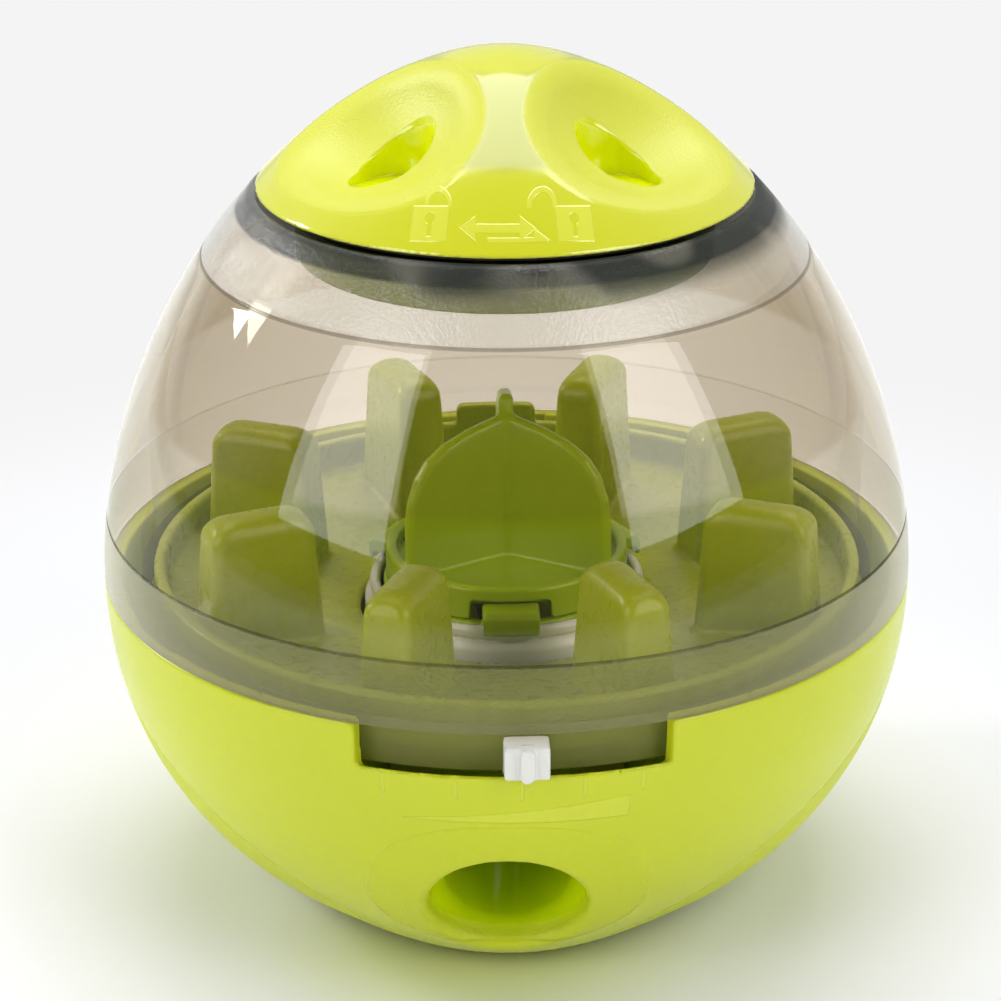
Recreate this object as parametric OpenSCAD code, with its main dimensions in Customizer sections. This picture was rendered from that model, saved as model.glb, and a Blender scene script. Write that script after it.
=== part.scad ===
// Treat dispensing ball: a weighted base with a chute, a maze dish with eight posts,
// a smoke-grey dome and a twist cap with three finger scoops.
// Millimetres. The ball stands on z = 0 and its outlet faces -Y.

/* [Ball outline] */
// Widest diameter of the ball
ball_d = 106; // [100:1:112]
// Height of the widest level, where base and dome meet
belt_z = 42.5; // [41:0.5:44]
// How far the outline of the base reaches below the widest level
bowl_depth = 50; // [48:0.5:52]
// How far the outline of the crown reaches above the widest level
crown_h = 68.4; // [66:0.1:71]
// Fullness of the base outline
bowl_power = 2.107; // [2.05:0.001:2.2]
// Fullness of the crown outline, across
crown_power_across = 1.739; // [1.7:0.001:1.8]
// Fullness of the crown outline, upwards
crown_power_up = 1.83; // [1.8:0.001:1.87]
// Radius of the flat foot
foot_r = 16; // [12:0.5:18]
// Height at which the rounded bottom joins the bowl outline
foot_join_z = 1.6; // [1.4:0.1:2.4]

/* [Base] */
// Wall of the base shell
shell_wall = 2.3; // [2:0.1:2.5]
// Direction of the middle of the adjuster window, in degrees from the front
window_az = 0.9; // [-3:0.1:3]
// Half width of the adjuster window, in degrees
window_half = 20; // [18:0.5:22]
// Height of the outer edge of the window sill
sill_z = 37; // [36.5:0.1:37.2]
// Fall of the window sill towards the inside, in degrees
sill_fall = 32; // [31:1:34]
// Thickness of the ribs that carry the maze dish
rib_t = 1.6; // [1.2:0.1:2]
// Width of the shelf of each rib that the maze dish lies on
rib_shelf = 3.4; // [2.6:0.1:4]
// Lowest point of the ribs
rib_foot_z = 24; // [20:1:28]
// Height of the inner end of a rib
rib_nose_h = 4; // [3:0.5:6]
// Length of the key that holds the maze dish from turning
key_h = 2; // [1.5:0.1:2.5]
// Width of the key
key_w = 3; // [2.5:0.1:4]
// Radius of the screw bosses
boss_r = 3; // [2.6:0.1:3.4]

/* [Outlet] */
// Radius of the chute's bore
chute_r = 8; // [7.6:0.1:8.4]
// Wall of the chute and of the hub
chute_wall = 1.6; // [1.4:0.1:2]
// Height of the bore's middle line at the ball's axis
chute_top_z = 20.5; // [20:0.1:21]
// Height of the middle of the round mouth
chute_mouth_z = 13.9; // [13.5:0.1:14.3]
// Distance from the outside of the ball to the middle of the mouth
chute_mouth_in = 9.6; // [9.2:0.1:10]
// Radius of the ball-shaped mouth
mouth_r = 10; // [9.6:0.1:10.2]
// Outer radius of the hub tube
hub_r = 16.4; // [16:0.1:16.5]
// Height of the hub's round bottom above the floor, measured to its middle
hub_ball_z = 26; // [26:0.1:27]
// Top of the hub tube
hub_top_z = 39.6; // [39.4:0.1:39.8]
// Radius of the screw flange of the funnel
flange_r = 25; // [24.5:0.1:26]
// Underside of the screw flange
flange_z = 29; // [28.5:0.1:29.2]
// Thickness of the screw flange
flange_t = 1.8; // [1.6:0.1:2]
// Distance of the funnel screws from the axis
funnel_screw_at = 21.4; // [21:0.1:22]
// Width of a snap hook
hook_w = 7.3; // [6.5:0.1:8]
// Top of a snap hook
hook_top_z = 42.1; // [41.9:0.1:42.2]
// Thickness of the hook's head
hook_head_h = 2; // [1.8:0.1:2.1]
// How far the hook's nose hangs down
hook_nose_h = 1; // [0.8:0.1:1.2]
// Thickness of the hook's nose
hook_nose_t = 0.7; // [0.6:0.1:0.8]
// Width of the bars that carry the pivot boss in the hub
spider_t = 1.6; // [1.2:0.1:2]
// Height of the pivot boss
spider_h = 4; // [3:0.1:4.2]
// Radius of the pivot boss
spider_boss_r = 4; // [3.6:0.1:4.4]

/* [Weight] */
// Radius of the steel weight
weight_r = 27; // [25:0.5:28]
// Top of the steel weight
weight_top_z = 9; // [8.6:0.1:9.2]
// Distance of the weight screws from the axis
weight_screw_at = 18; // [17:0.5:19]

/* [Screws] */
// Shank radius of the screws
screw_r = 1.15; // [1:0.05:1.3]
// Head radius of the screws
screw_head_r = 2.5; // [2.3:0.1:2.7]
// Head height of the screws
screw_head_h = 1.5; // [1.3:0.1:1.7]
// How far a screw goes into its boss
screw_bite = 4; // [3:0.5:5]
// Radius of the drive recess in the heads
drive_r = 1; // [0.8:0.1:1.2]
// Depth of the drive recess
drive_depth = 0.8; // [0.6:0.1:1]

/* [Adjuster] */
// Direction of the tab at rest, in degrees from the front
tab_az = 2.5; // [0:0.1:4]
// Turn from rest to the most open place, in degrees
adjuster_opening = 15; // [13:0.5:15]
// Turn from rest to the least open place, in degrees
adjuster_closing = 18; // [16:0.5:18]
// Inner radius of the adjuster ring
ring_in_r = 16.9; // [16.8:0.1:17]
// Outer radius of the adjuster ring
ring_out_r = 18.9; // [18.8:0.1:19]
// Radius of the ring's upper ridge
ring_ridge_r = 18.2; // [18.1:0.1:18.2]
// Radius at the bottom of the groove between the ridges
ring_waist_r = 17.8; // [17.7:0.1:17.9]
// Top of the adjuster ring
ring_top_z = 39.7; // [39.6:0.05:39.7]
// Height of the groove between the ridges
ring_waist_z = 38; // [37.8:0.1:38.2]
// Thickness of the arm
arm_t = 1; // [0.9:0.05:1.1]
// Width of the arm and of the tab
tab_w = 5.4; // [5:0.1:6]
// Thickness of the tab outside the sill
tab_t = 1.2; // [1:0.1:1.4]
// Lowest point of the tab
tab_foot_z = 36.9; // [36.6:0.1:37]
// Top of the tab
tab_top_z = 42; // [41.6:0.1:42.1]
// Width of the pointer rib on the tab
pointer_w = 1.9; // [1.6:0.1:2.2]
// How far the pointer rib stands out of the tab
pointer_t = 0.7; // [0.5:0.1:0.9]
// How far the pointer rib reaches below the tab
pointer_drop = 0.8; // [0.6:0.1:1]
// Thickness of the gate blade
gate_t = 1.2; // [1:0.1:1.3]
// Outer radius of the gate blade
gate_r = 14.2; // [14:0.1:14.3]
// Underside of the gate blade
gate_z = 38; // [37.9:0.1:38.1]
// Half width of the gate blade, in degrees
gate_half = 107; // [104:1:108]
// Half width of the gate's spoke through the hub wall, in degrees
spoke_half = 7; // [6:0.5:8]

/* [Hood] */
// Turn of hood, hooks and maze dish from the outlet's direction, in degrees
inner_turn = 1.9; // [0:0.1:3]
// Outer radius of the hood
hood_r = 16; // [15.8:0.1:16.1]
// Wall of the hood
hood_wall = 1.5; // [1.3:0.1:1.6]
// Top of the hood's rim
hood_rim_z = 44.2; // [44:0.1:44.6]
// Top of the hood's floor
hood_floor_z = 42.6; // [42.4:0.1:42.8]
// Thickness of the hood's floor
hood_floor_t = 1.3; // [1.2:0.1:1.4]
// Width of the notches round the hooks
notch_w = 10.4; // [9.6:0.1:11]
// Top of the notches
notch_top_z = 42.4; // [42.3:0.05:42.4]
// Thickness of the three fins
fin_t = 1.9; // [1.6:0.1:2.2]
// Height of the fins' middle above the hood's floor
fin_h = 20.4; // [19:0.1:21]
// Extra height of the rear fin
rear_fin_rise = 2.6; // [0:0.1:3]
// Reach of the fins from the axis
fin_reach = 15.3; // [15:0.1:15.5]
// Inner radius of the two ports in the floor
port_in_r = 5; // [4.6:0.1:5.4]
// Outer radius of the ports
port_out_r = 12.8; // [12:0.1:13]
// Half width of a port, in degrees
port_half = 25; // [22:1:27]
// Direction of the ports from the front, in degrees
port_az = 125; // [120:1:130]
// Radius of the pivot pin
pin_r = 2.1; // [1.8:0.1:2.3]

/* [Maze dish] */
// Radius of the hole round the adjuster ring
dish_hole_r = 19.5; // [19.4:0.1:19.7]
// Floor level of the dish at its hole
dish_low_z = 35.7; // [35.5:0.1:35.8]
// Floor level of the dish at its rim
dish_high_z = 39.1; // [39:0.1:39.4]
// Thickness of the dish
dish_t = 1.8; // [1.6:0.1:1.8]
// Room between the skirt and the maze dish
dish_room = 1.5; // [1.4:0.1:1.7]
// Wall of the dish's rim
dish_wall = 1.7; // [1.5:0.1:1.9]
// Top of the dish's rim
dish_rim_z = 43.4; // [43:0.1:43.8]
// Underside of the dish where the ribs carry it
land_z = 37.1; // [37:0.05:37.2]
// Width of the lift tab on the rim
lift_w = 11.5; // [10:0.1:13]
// Top of the lift tab
lift_top_z = 46.2; // [45.6:0.1:46.8]
// Number of posts
post_count = 8; // [6:1:9]
// Gap between hole and posts, as a share of the dish floor's width
post_in_share = 0.2953; // [0.26:0.001:0.33]
// Gap between posts and wall, as a share of the dish floor's width
post_out_share = 0.0906; // [0.08:0.001:0.11]
// Thickness of a post at its foot
post_foot_t = 7.8; // [7:0.1:8.4]
// Thickness of a post below its round top
post_top_t = 6; // [5.6:0.1:6.6]
// Mean height of the post tops
post_top_z = 55.6; // [53:0.1:56]
// Extra height of the rear posts over the mean
post_rise = 1.9; // [0:0.1:2]
// Lean of the post ends, over the post's height
post_end_lean = 1; // [0.6:0.1:1.4]
// Radius of the posts' top corners, as a share of half their top's length
post_corner_share = 0.53; // [0.45:0.01:0.58]

/* [Dome] */
// Wall of the dome
dome_wall = 2.3; // [2.1:0.1:2.4]
// How far the upright lower part of the dome stands inside the skirt
dome_step = 1.8; // [1.6:0.1:2]
// Depth of the skirt inside the outside of the ball
skirt_in = 3; // [3:0.1:3.2]
// Wall of the skirt
skirt_wall = 1.9; // [1.7:0.1:2]
// Lower edge of the skirt
skirt_z = 37; // [36.9:0.05:37.1]
// Height of the step inside the dome, over the rim of the maze dish
step_z = 47; // [46.8:0.1:48]
// Top of the frosted band above the belt
band_z = 51; // [50:0.1:52]
// Distance of the line over the clear part below the top of the cap
shoulder_drop = 25.8; // [25.3:0.1:26.4]
// Size of the fine grooves that edge the frosted bands
line_size = 0.25; // [0.2:0.05:0.3]
// Distance of the top of the neck below the top of the cap
lip_drop = 17.8; // [17.7:0.1:17.9]
// Thickness of the dome's lip
lip_t = 2; // [1.8:0.1:2.2]
// Width of the flat lip round the neck
lip_w = 5.358; // [4.9:0.001:5.6]
// Height of the middle of the skirt's lugs
skirt_lug_z = 38.8; // [38.6:0.1:39.2]
// Height of a skirt lug
skirt_lug_h = 1.6; // [1.4:0.1:1.8]
// How far the skirt lugs stand out
skirt_lug_out = 0.9; // [0.7:0.05:0.95]
// Half width of a skirt lug, in degrees
skirt_lug_half = 5; // [4:0.5:6]
// Direction of the first skirt lug, in degrees from the front
skirt_lug_az = 60; // [55:1:65]
// Turn of the dome from free to locked, in degrees
dome_twist = 25; // [22:1:28]

/* [Cap] */
// Gap between neck and cap, which holds the seal
cap_gap = 0.6; // [0.5:0.05:0.7]
// Wall of the cap
cap_wall = 2.2; // [2:0.1:2.4]
// Room between neck and plug
plug_room = 0.4; // [0.4:0.1:0.6]
// Wall of the plug
plug_wall = 1.8; // [1.6:0.1:2]
// Depth of the plug's skirt below the top of the neck
plug_depth = 8; // [7:0.1:9]
// Height of the plug's plate over the top of the neck
plug_rise = 1.9; // [1.7:0.1:2.1]
// How far the plug's lugs stand out over the neck's radius
plug_lug_out = 1.3; // [1:0.1:1.3]
// Height of a plug lug
plug_lug_h = 2.2; // [2:0.1:2.4]
// Half width of a plug lug, in degrees
plug_lug_half = 8; // [6:0.5:10]
// Turn of the cap from free to locked, in degrees
cap_twist = 36; // [30:1:42]
// Distance from the plug's lugs to the seal
seal_room = 0.6; // [0.5:0.1:0.7]
// Width of the seal
seal_w = 1.7; // [1.5:0.1:1.9]
// Distance of the cap's screws inside the plug's outside
cap_screw_in = 7.6; // [6.6:0.1:8.6]
// Number of finger scoops, one between each two ridges
scoop_count = 3; // [3:1:3]
// Radius of the scoops' middles, as a share of the cap's radius
scoop_share = 0.60686; // [0.585:0.001:0.615]
// Depth of a scoop below the outline
scoop_depth = 7.2; // [6.8:0.1:7.3]
// Tilt of a scoop towards the rim, in degrees
scoop_tilt = 28.7; // [27:0.1:30]
// Radius of a scoop's floor along the slope
scoop_along_r = 14.8; // [14.4:0.1:16]
// Radius of a scoop's floor across the slope
scoop_across_r = 32.6; // [31:0.2:36]
// Distance from a scoop's middle to the inner end of its pocket
pocket_in_reach = 8.5; // [8.2:0.1:8.8]
// Distance from a scoop's middle to the outer end of its pocket
pocket_out_reach = 2.3; // [2:0.1:2.5]
// Width of the pocket at its inner end
pocket_wide = 8.4; // [8:0.1:8.6]
// Width of the pocket at its outer end
pocket_narrow = 5.2; // [4.8:0.1:5.6]
// How much longer than round the pockets' wide end is
pocket_stretch = 1; // [0.8:0.1:1.2]
// Height of the pockets' floor over the edge of the cap
pocket_floor_rise = 2.8; // [2.6:0.1:3.3]
// Wall of the pocket
pocket_wall = 1.2; // [1:0.1:1.3]

/* [Clearances] */
// Gap between flat faces that rest on one another
seat_gap = 0.1; // [0.05:0.05:0.15]
// Gap between pieces that turn or slide
run_gap = 0.3; // [0.3:0.05:0.4]
// Radial gap of a screw or pin in its hole
pin_gap = 0.05; // [0.03:0.01:0.08]
// Play of lugs and keys at each side, in degrees
side_play = 1.5; // [1:0.1:2]

/* [Hidden] */
$fn = 96;
over = 1;
lime = [0.80, 0.85, 0.20];
ball_r = ball_d / 2;
crown_z = belt_z + crown_h;
shoulder_z = crown_z - shoulder_drop;
lip_z = crown_z - lip_drop;
cap_z = lip_z + cap_gap;
plug_z = lip_z - plug_depth;
plug_top_z = lip_z + plug_rise;
pocket_floor_z = cap_z + pocket_floor_rise;
scoop_turn = 360 / scoop_count;
skirt_r = ball_r - skirt_in;
dish_r = skirt_r - skirt_wall - dish_room;
rib_in_r = dish_r - rib_shelf;
dome_in_r = skirt_r - skirt_wall - dome_step;
chute_mouth_y = ball_r - chute_mouth_in;
dish_floor_w = dish_r - dish_wall - dish_hole_r;
post_in_r = dish_hole_r + post_in_share * dish_floor_w;
post_out_r = dish_r - dish_wall - post_out_share * dish_floor_w;
post_corner = post_corner_share * ((post_out_r - post_in_r) / 2 - post_end_lean);
bowl_steps = 14;
foot_steps = 5;
crown_steps = 14;
cap_steps = 16;
corner_steps = 4;

// Outline of the ball: radius at a height, and height at a radius on the crown.
function bowl_r_at(z) =
    ball_r * pow(1 - pow((belt_z - z) / bowl_depth, bowl_power), 1 / bowl_power);
function crown_r_at(z) =
    ball_r * pow(1 - pow((z - belt_z) / crown_h, crown_power_up), 1 / crown_power_across);
function crown_z_at(r) =
    belt_z + crown_h * pow(1 - pow(r / ball_r, crown_power_across), 1 / crown_power_up);
function levels(low, high, steps) = [for (i = [0:steps]) low + (high - low) * i / steps];
function bowl_points(low, high, steps) = [for (z = levels(low, high, steps)) [bowl_r_at(z), z]];
function crown_points(low, high, steps) = [for (z = levels(low, high, steps)) [crown_r_at(z), z]];
function reversed(p) = [for (i = [len(p) - 1:-1:0]) p[i]];

// Points moved inwards by a wall, square to the outline.
function inset(p, wall) = [for (i = [0:len(p) - 1])
    let (a = p[max(i - 1, 0)], b = p[min(i + 1, len(p) - 1)], d = (b - a) / norm(b - a))
    [max(0, p[i][0] - wall * d[1]), p[i][1] + wall * d[0]]];

// Rounded bottom: a curve from the flat foot into the bowl, tangent at both ends.
join_slope = (bowl_r_at(foot_join_z * 1.01) - bowl_r_at(foot_join_z)) / (foot_join_z * 0.01);
foot_knee_r = bowl_r_at(foot_join_z) - foot_join_z * join_slope;
function foot_point(t) =
    pow(1 - t, 2) * [foot_r, 0] + 2 * t * (1 - t) * [foot_knee_r, 0]
    + t * t * [bowl_r_at(foot_join_z), foot_join_z];
foot_points = [for (i = [0:foot_steps - 1]) foot_point(i / foot_steps)];
base_outline = concat(foot_points, bowl_points(foot_join_z, belt_z, bowl_steps));
// Inside of the bowl at a depth under its skin: a flat floor, then the outline moved inwards.
function bowl_inside(wall) = let (p = inset(base_outline, wall))
    concat([[0, wall], [foot_r, wall]], [for (i = [1:len(p) - 1]) p[i]]);

// Heights and angles that several pieces share.
weight_boss_z = weight_top_z - shell_wall - seat_gap;
neck_r = crown_r_at(lip_z) - lip_w;
plug_r = neck_r - plug_room;
plug_lug_r = neck_r + plug_lug_out;
seal_in_r = plug_lug_r + seal_room;
seal_out_r = seal_in_r + seal_w;
cap_screw_at = plug_r - cap_screw_in;
cap_rim_r = crown_r_at(cap_z);
scoop_at = scoop_share * cap_rim_r;
pocket_in = scoop_at - pocket_in_reach;
pocket_out = scoop_at + pocket_out_reach;
chute_tilt = atan((chute_top_z - chute_mouth_z) / chute_mouth_y);
mouth_at = chute_mouth_y / cos(chute_tilt);
hub_bore_r = hub_r - chute_wall;
hook_azs = [for (i = [0:2]) inner_turn + i * 120];
rib_azs = [45, 90, 135, 225, 270, 315];
key_az = 180 + inner_turn;
funnel_screw_azs = [60, 180, 300];
weight_screw_azs = [120, 240];
gate_opening_az = port_az - adjuster_opening;
dish_slope = (dish_high_z - dish_low_z) / dish_floor_w;
arm_top_z = skirt_z - run_gap;
tab_in_r = skirt_r + 2 * run_gap;
tab_out_r = ball_r + run_gap;
dome_foot_z = belt_z + seat_gap;
plug_lug_top_z = lip_z - lip_t - run_gap;
plug_lug_azs = [for (i = [0:2]) i * 120];
skirt_lug_azs = [for (i = [0:2]) skirt_lug_az + i * 120];
plug_plate_z = lip_z + seat_gap;
function sill_z_at(r) = sill_z - (ball_r - r) * tan(sill_fall);
function sill_r_at(z) = ball_r - (sill_z - z) / tan(sill_fall);

// Turns its children so that +X looks from the axis towards a direction of the ball.
module at_az(az) rotate([0, 0, az - 90]) children();
// A solid of revolution from points of radius and height.
module turned(points) rotate_extrude() polygon(points);
// Part of a solid of revolution, between two directions.
module sector(az, half, points)
    rotate([0, 0, az - 90 - half]) rotate_extrude(angle = 2 * half) polygon(points);
// Rectangle of radius and height as points.
function box(r0, r1, z0, z1) = [[r0, z0], [r1, z0], [r1, z1], [r0, z1]];
// A flat plate that stands on a radius, drawn by points of radius and height.
module standing(az, t, points)
    at_az(az) translate([0, t / 2, 0]) rotate([90, 0, 0]) linear_extrude(t) polygon(points);
// A pan head screw that points down, its head's underside on z = 0.
module screw(grip) {
    difference() {
        cylinder(r = screw_head_r, h = screw_head_h);
        translate([0, 0, screw_head_h - drive_depth]) cylinder(r = drive_r, h = drive_depth + over);
    }
    translate([0, 0, -grip - screw_bite]) cylinder(r = screw_r, h = grip + screw_bite);
}
module place(azs, r, z) for (az = azs) at_az(az) translate([r, 0, z]) children();

// Base: the lime lower shell, with the chute and the window for the adjuster.
module base_shell() color(lime) difference() {
    union() {
        turned(concat([[0, 0]], base_outline, reversed(bowl_inside(shell_wall))));
        chute();
        for (az = rib_azs) standing(az, rib_t, rib_points);
        standing(key_az, key_w, key_points);
        place(funnel_screw_azs, funnel_screw_at, shell_wall / 2)
            cylinder(r = boss_r, h = flange_z - seat_gap - shell_wall / 2);
        place(weight_screw_azs, weight_screw_at, shell_wall / 2)
            cylinder(r = boss_r, h = weight_boss_z - shell_wall / 2);
    }
    sector(window_az, window_half, [[skirt_r - over, sill_z_at(skirt_r - over)],
        [ball_r + over, sill_z_at(ball_r + over)], [ball_r + over, belt_z + over],
        [skirt_r - over, belt_z + over]]);
    bore(0);
    for (az = skirt_lug_azs) {
        sector(az, skirt_lug_half + side_play, groove_points(belt_z + over));
        sector(az + dome_twist / 2, dome_twist / 2 + skirt_lug_half + side_play,
            groove_points(skirt_lug_z + skirt_lug_h / 2 + run_gap));
    }
    place(funnel_screw_azs, funnel_screw_at, flange_z - screw_bite - over)
        cylinder(r = screw_r + pin_gap, h = screw_bite + 2 * over);
    place(weight_screw_azs, weight_screw_at, weight_boss_z - screw_bite - over)
        cylinder(r = screw_r + pin_gap, h = screw_bite + 2 * over);
}
// Side view of a rib from the wall's middle to its nose under the dish.
rib_back = [for (z = levels(rib_foot_z, land_z - 2 * run_gap, 4)) [bowl_r_at(z) - shell_wall / 2, z]];
rib_points = concat(rib_back, [[dish_r + run_gap, land_z - 2 * run_gap],
    [dish_r + run_gap, land_z - seat_gap], [rib_in_r, land_z - seat_gap],
    [rib_in_r, land_z - rib_nose_h]]);
// Side view of the key: a rib that ends in an upright nose in the notch of the dish.
key_in_r = dish_r - dish_wall / 2 + run_gap;
key_points = concat(rib_back, [[skirt_r - skirt_wall - run_gap, land_z - 2 * run_gap],
    [skirt_r - skirt_wall - run_gap, land_z + key_h], [key_in_r, land_z + key_h],
    [key_in_r, land_z - rib_nose_h]]);
function groove_points(top) = box(skirt_r - over, skirt_r + skirt_lug_out + run_gap,
    skirt_lug_z - skirt_lug_h / 2 - run_gap, top);
// Bore of the chute and its ball-shaped mouth, or with a wall the outside of both.
module bore(wall) chute_line() {
    cylinder(r = chute_r + wall, h = chute_mouth_y + ball_r);
    translate([0, 0, mouth_at]) sphere(r = mouth_r + wall);
}
// Chute: a sloping tube from the hub to the outlet, moulded on the shell.
module chute() difference() {
    intersection() {
        bore(chute_wall);
        turned(concat(bowl_inside(shell_wall / 2), [[0, belt_z]]));
    }
    translate([0, 0, hub_ball_z]) sphere(r = hub_r + run_gap);
    translate([0, 0, hub_ball_z]) cylinder(r = hub_r + run_gap, h = ball_d);
    translate([0, 0, flange_z - seat_gap]) cylinder(r = flange_r + run_gap, h = ball_d);
}
// Puts the z axis of its children on the bore's middle line, pointing to the mouth.
module chute_line() translate([0, 0, chute_top_z]) rotate([90 + chute_tilt, 0, 0]) children();

// Counterweight: a steel disc on the floor, grooved to pass under the chute.
module counterweight() color([0.62, 0.63, 0.65]) difference() {
    intersection() {
        turned(concat(bowl_inside(shell_wall + seat_gap), [[0, belt_z]]));
        cylinder(r = weight_r, h = weight_top_z);
    }
    chute_line() cylinder(r = chute_r + chute_wall + run_gap, h = chute_mouth_y);
    place(funnel_screw_azs, funnel_screw_at, 0)
        cylinder(r = boss_r + run_gap, h = weight_top_z + over);
    place(weight_screw_azs, weight_screw_at, 0)
        cylinder(r = boss_r + run_gap, h = weight_top_z - shell_wall);
    place(weight_screw_azs, weight_screw_at, 0)
        cylinder(r = screw_r + run_gap, h = weight_top_z + over);
}
module weight_screws() color([0.75, 0.76, 0.78])
    place(weight_screw_azs, weight_screw_at, weight_top_z) screw(weight_top_z - weight_boss_z);

// Funnel: hub tube with a round bottom over the chute, a screw flange and three snap hooks.
module outlet_funnel() color(lime) {
    difference() {
        union() {
            translate([0, 0, hub_ball_z]) cylinder(r = hub_r, h = hub_top_z - hub_ball_z);
            translate([0, 0, hub_ball_z]) sphere(r = hub_r);
            translate([0, 0, flange_z]) cylinder(r = flange_r, h = flange_t);
        }
        translate([0, 0, hub_ball_z]) cylinder(r = hub_bore_r, h = hub_top_z);
        translate([0, 0, hub_ball_z]) sphere(r = hub_bore_r);
        bore(0);
        place(funnel_screw_azs, funnel_screw_at, flange_z - over)
            cylinder(r = screw_r + run_gap, h = flange_t + 2 * over);
        sector(180 + tab_az, spoke_half + adjuster_closing + side_play,
            box(hub_bore_r - over, hub_r + over, gate_z - run_gap, hub_top_z + over));
    }
    for (az = hook_azs) standing(az, hook_w, hook_points);
    for (az = hook_azs) standing(az, spider_t, box((pin_r + spider_boss_r) / 2,
        hub_bore_r + chute_wall / 2, spider_z + run_gap, spider_z + spider_h - run_gap));
    turned(box(pin_r + pin_gap, spider_boss_r, spider_z, spider_z + spider_h));
}
spider_z = gate_z - 1.5 * run_gap - spider_h;
// Side view of a snap hook: finger, head over the ring and a nose in front of it.
hook_out_r = dish_hole_r - run_gap;
hook_in_r = hub_bore_r + run_gap;
hook_points = [[hook_in_r, spider_z - run_gap], [hub_r, spider_z - run_gap],
    [hub_r, hook_top_z - hook_head_h], [hook_out_r - hook_nose_t, hook_top_z - hook_head_h],
    [hook_out_r - hook_nose_t, hook_top_z - hook_head_h - hook_nose_h],
    [hook_out_r, hook_top_z - hook_head_h - hook_nose_h], [hook_out_r, hook_top_z - hook_nose_t],
    [hook_out_r - hook_nose_t, hook_top_z], [hook_in_r, hook_top_z]];
module funnel_screws() color([0.75, 0.76, 0.78])
    place(funnel_screw_azs, funnel_screw_at, flange_z + flange_t) screw(flange_t);

// Hood: a shallow cup on the hub with three fins, two ports and the gate's pivot pin.
module feed_hood() color(lime) {
    difference() {
        turned([[0, hood_floor_z - hood_floor_t], [hood_r - hood_wall, hood_floor_z - hood_floor_t],
            [hood_r - hood_wall, hub_top_z + seat_gap], [hood_r, hub_top_z + seat_gap],
            [hood_r, hood_rim_z - hood_wall / 2], [hood_r - hood_wall / 4, hood_rim_z],
            [hood_r - 3 * hood_wall / 4, hood_rim_z], [hood_r - hood_wall, hood_rim_z - hood_wall / 2],
            [hood_r - hood_wall, hood_floor_z], [0, hood_floor_z]]);
        for (az = hook_azs) standing(az, notch_w, box(hood_r - hood_wall, hood_r + over,
            hub_top_z - over, notch_top_z));
        for (side = [-1, 1]) sector(side * port_az + inner_turn, port_half,
            box(port_in_r, port_out_r, hood_floor_z - hood_floor_t - over, hood_floor_z + over));
    }
    for (side = [-1, 1]) standing(side * 60 + inner_turn, fin_t, fin_points(fin_h));
    standing(180 + inner_turn, fin_t, fin_points(fin_h + rear_fin_rise));
    translate([0, 0, spider_z]) cylinder(r = pin_r, h = hood_floor_z - hood_floor_t / 2 - spider_z);
}
// Side view of a fin, as shares of its reach and height: a straight edge, then a round shoulder.
fin_shares = [[1, 0], [1, 0.37], [0.975, 0.53], [0.9, 0.68], [0.79, 0.79], [0.62, 0.875],
    [0.36, 0.945], [0, 1]];
function fin_points(h) = concat([[0, hood_floor_z - hood_floor_t / 2]],
    [for (s = fin_shares) [s[0] * fin_reach, hood_floor_z - hood_floor_t / 2 + s[1] * h]]);

// Adjuster: a white ring round the hub, with a gate blade inside and an arm to the tab.
module adjuster_ring() color([0.93, 0.93, 0.92]) {
    turned(ring_points);
    intersection() {
        turned(arm_points);
        at_az(tab_az) translate([0, -tab_w / 2, 0]) cube([ball_d, tab_w, belt_z]);
    }
    standing(tab_az, pointer_w, box(tab_out_r + tab_t - over, tab_out_r + tab_t + pointer_t,
        tab_foot_z - pointer_drop, tab_top_z));
    standing(tab_az, pointer_w, box(tab_out_r, tab_out_r + tab_t,
        tab_foot_z - pointer_drop, tab_top_z));
    difference() {
        union() {
            sector(180 + tab_az, gate_half, box((pin_r + port_in_r) / 2, gate_r,
                gate_z, gate_z + gate_t));
            sector(180 + tab_az, spoke_half, box(gate_r - over, ring_in_r + (ring_waist_r - ring_in_r) / 2,
                gate_z, gate_z + gate_t));
        }
        for (side = [-1, 1]) sector(side * port_az + inner_turn - adjuster_opening, port_half,
            box(port_in_r, port_out_r, gate_z - over, gate_z + gate_t + over));
    }
    turned(box(pin_r + run_gap, port_in_r - run_gap, gate_z - run_gap / 2, gate_z + gate_t + run_gap));
}
arm_low_z = dish_low_z - dish_t - run_gap;
arm_knee_r = rib_in_r;
ring_points = [[ring_in_r, arm_low_z - arm_t], [ring_out_r, arm_low_z - arm_t],
    [ring_out_r, ring_waist_z - (ring_out_r - ring_waist_r)],
    [(ring_out_r + ring_waist_r) / 2, ring_waist_z - (ring_out_r - ring_waist_r) / 4],
    [ring_waist_r, ring_waist_z], [ring_ridge_r, ring_waist_z + (ring_ridge_r - ring_waist_r)],
    [ring_ridge_r, ring_top_z - (ring_ridge_r - ring_waist_r)], [ring_waist_r, ring_top_z],
    [ring_in_r + run_gap, ring_top_z], [ring_in_r, ring_top_z - run_gap]];
arm_points = [[ring_in_r + run_gap, arm_low_z - arm_t], [arm_knee_r, arm_top_z - arm_t],
    [sill_r_at(arm_top_z - arm_t - run_gap), arm_top_z - arm_t],
    [tab_out_r, sill_z_at(tab_out_r) + run_gap], [tab_out_r, tab_foot_z],
    [tab_out_r + tab_t, tab_foot_z], [tab_out_r + tab_t, tab_top_z], [tab_in_r, tab_top_z],
    [tab_in_r, arm_top_z], [arm_knee_r, arm_top_z], [ring_in_r + run_gap, arm_low_z]];

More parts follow.
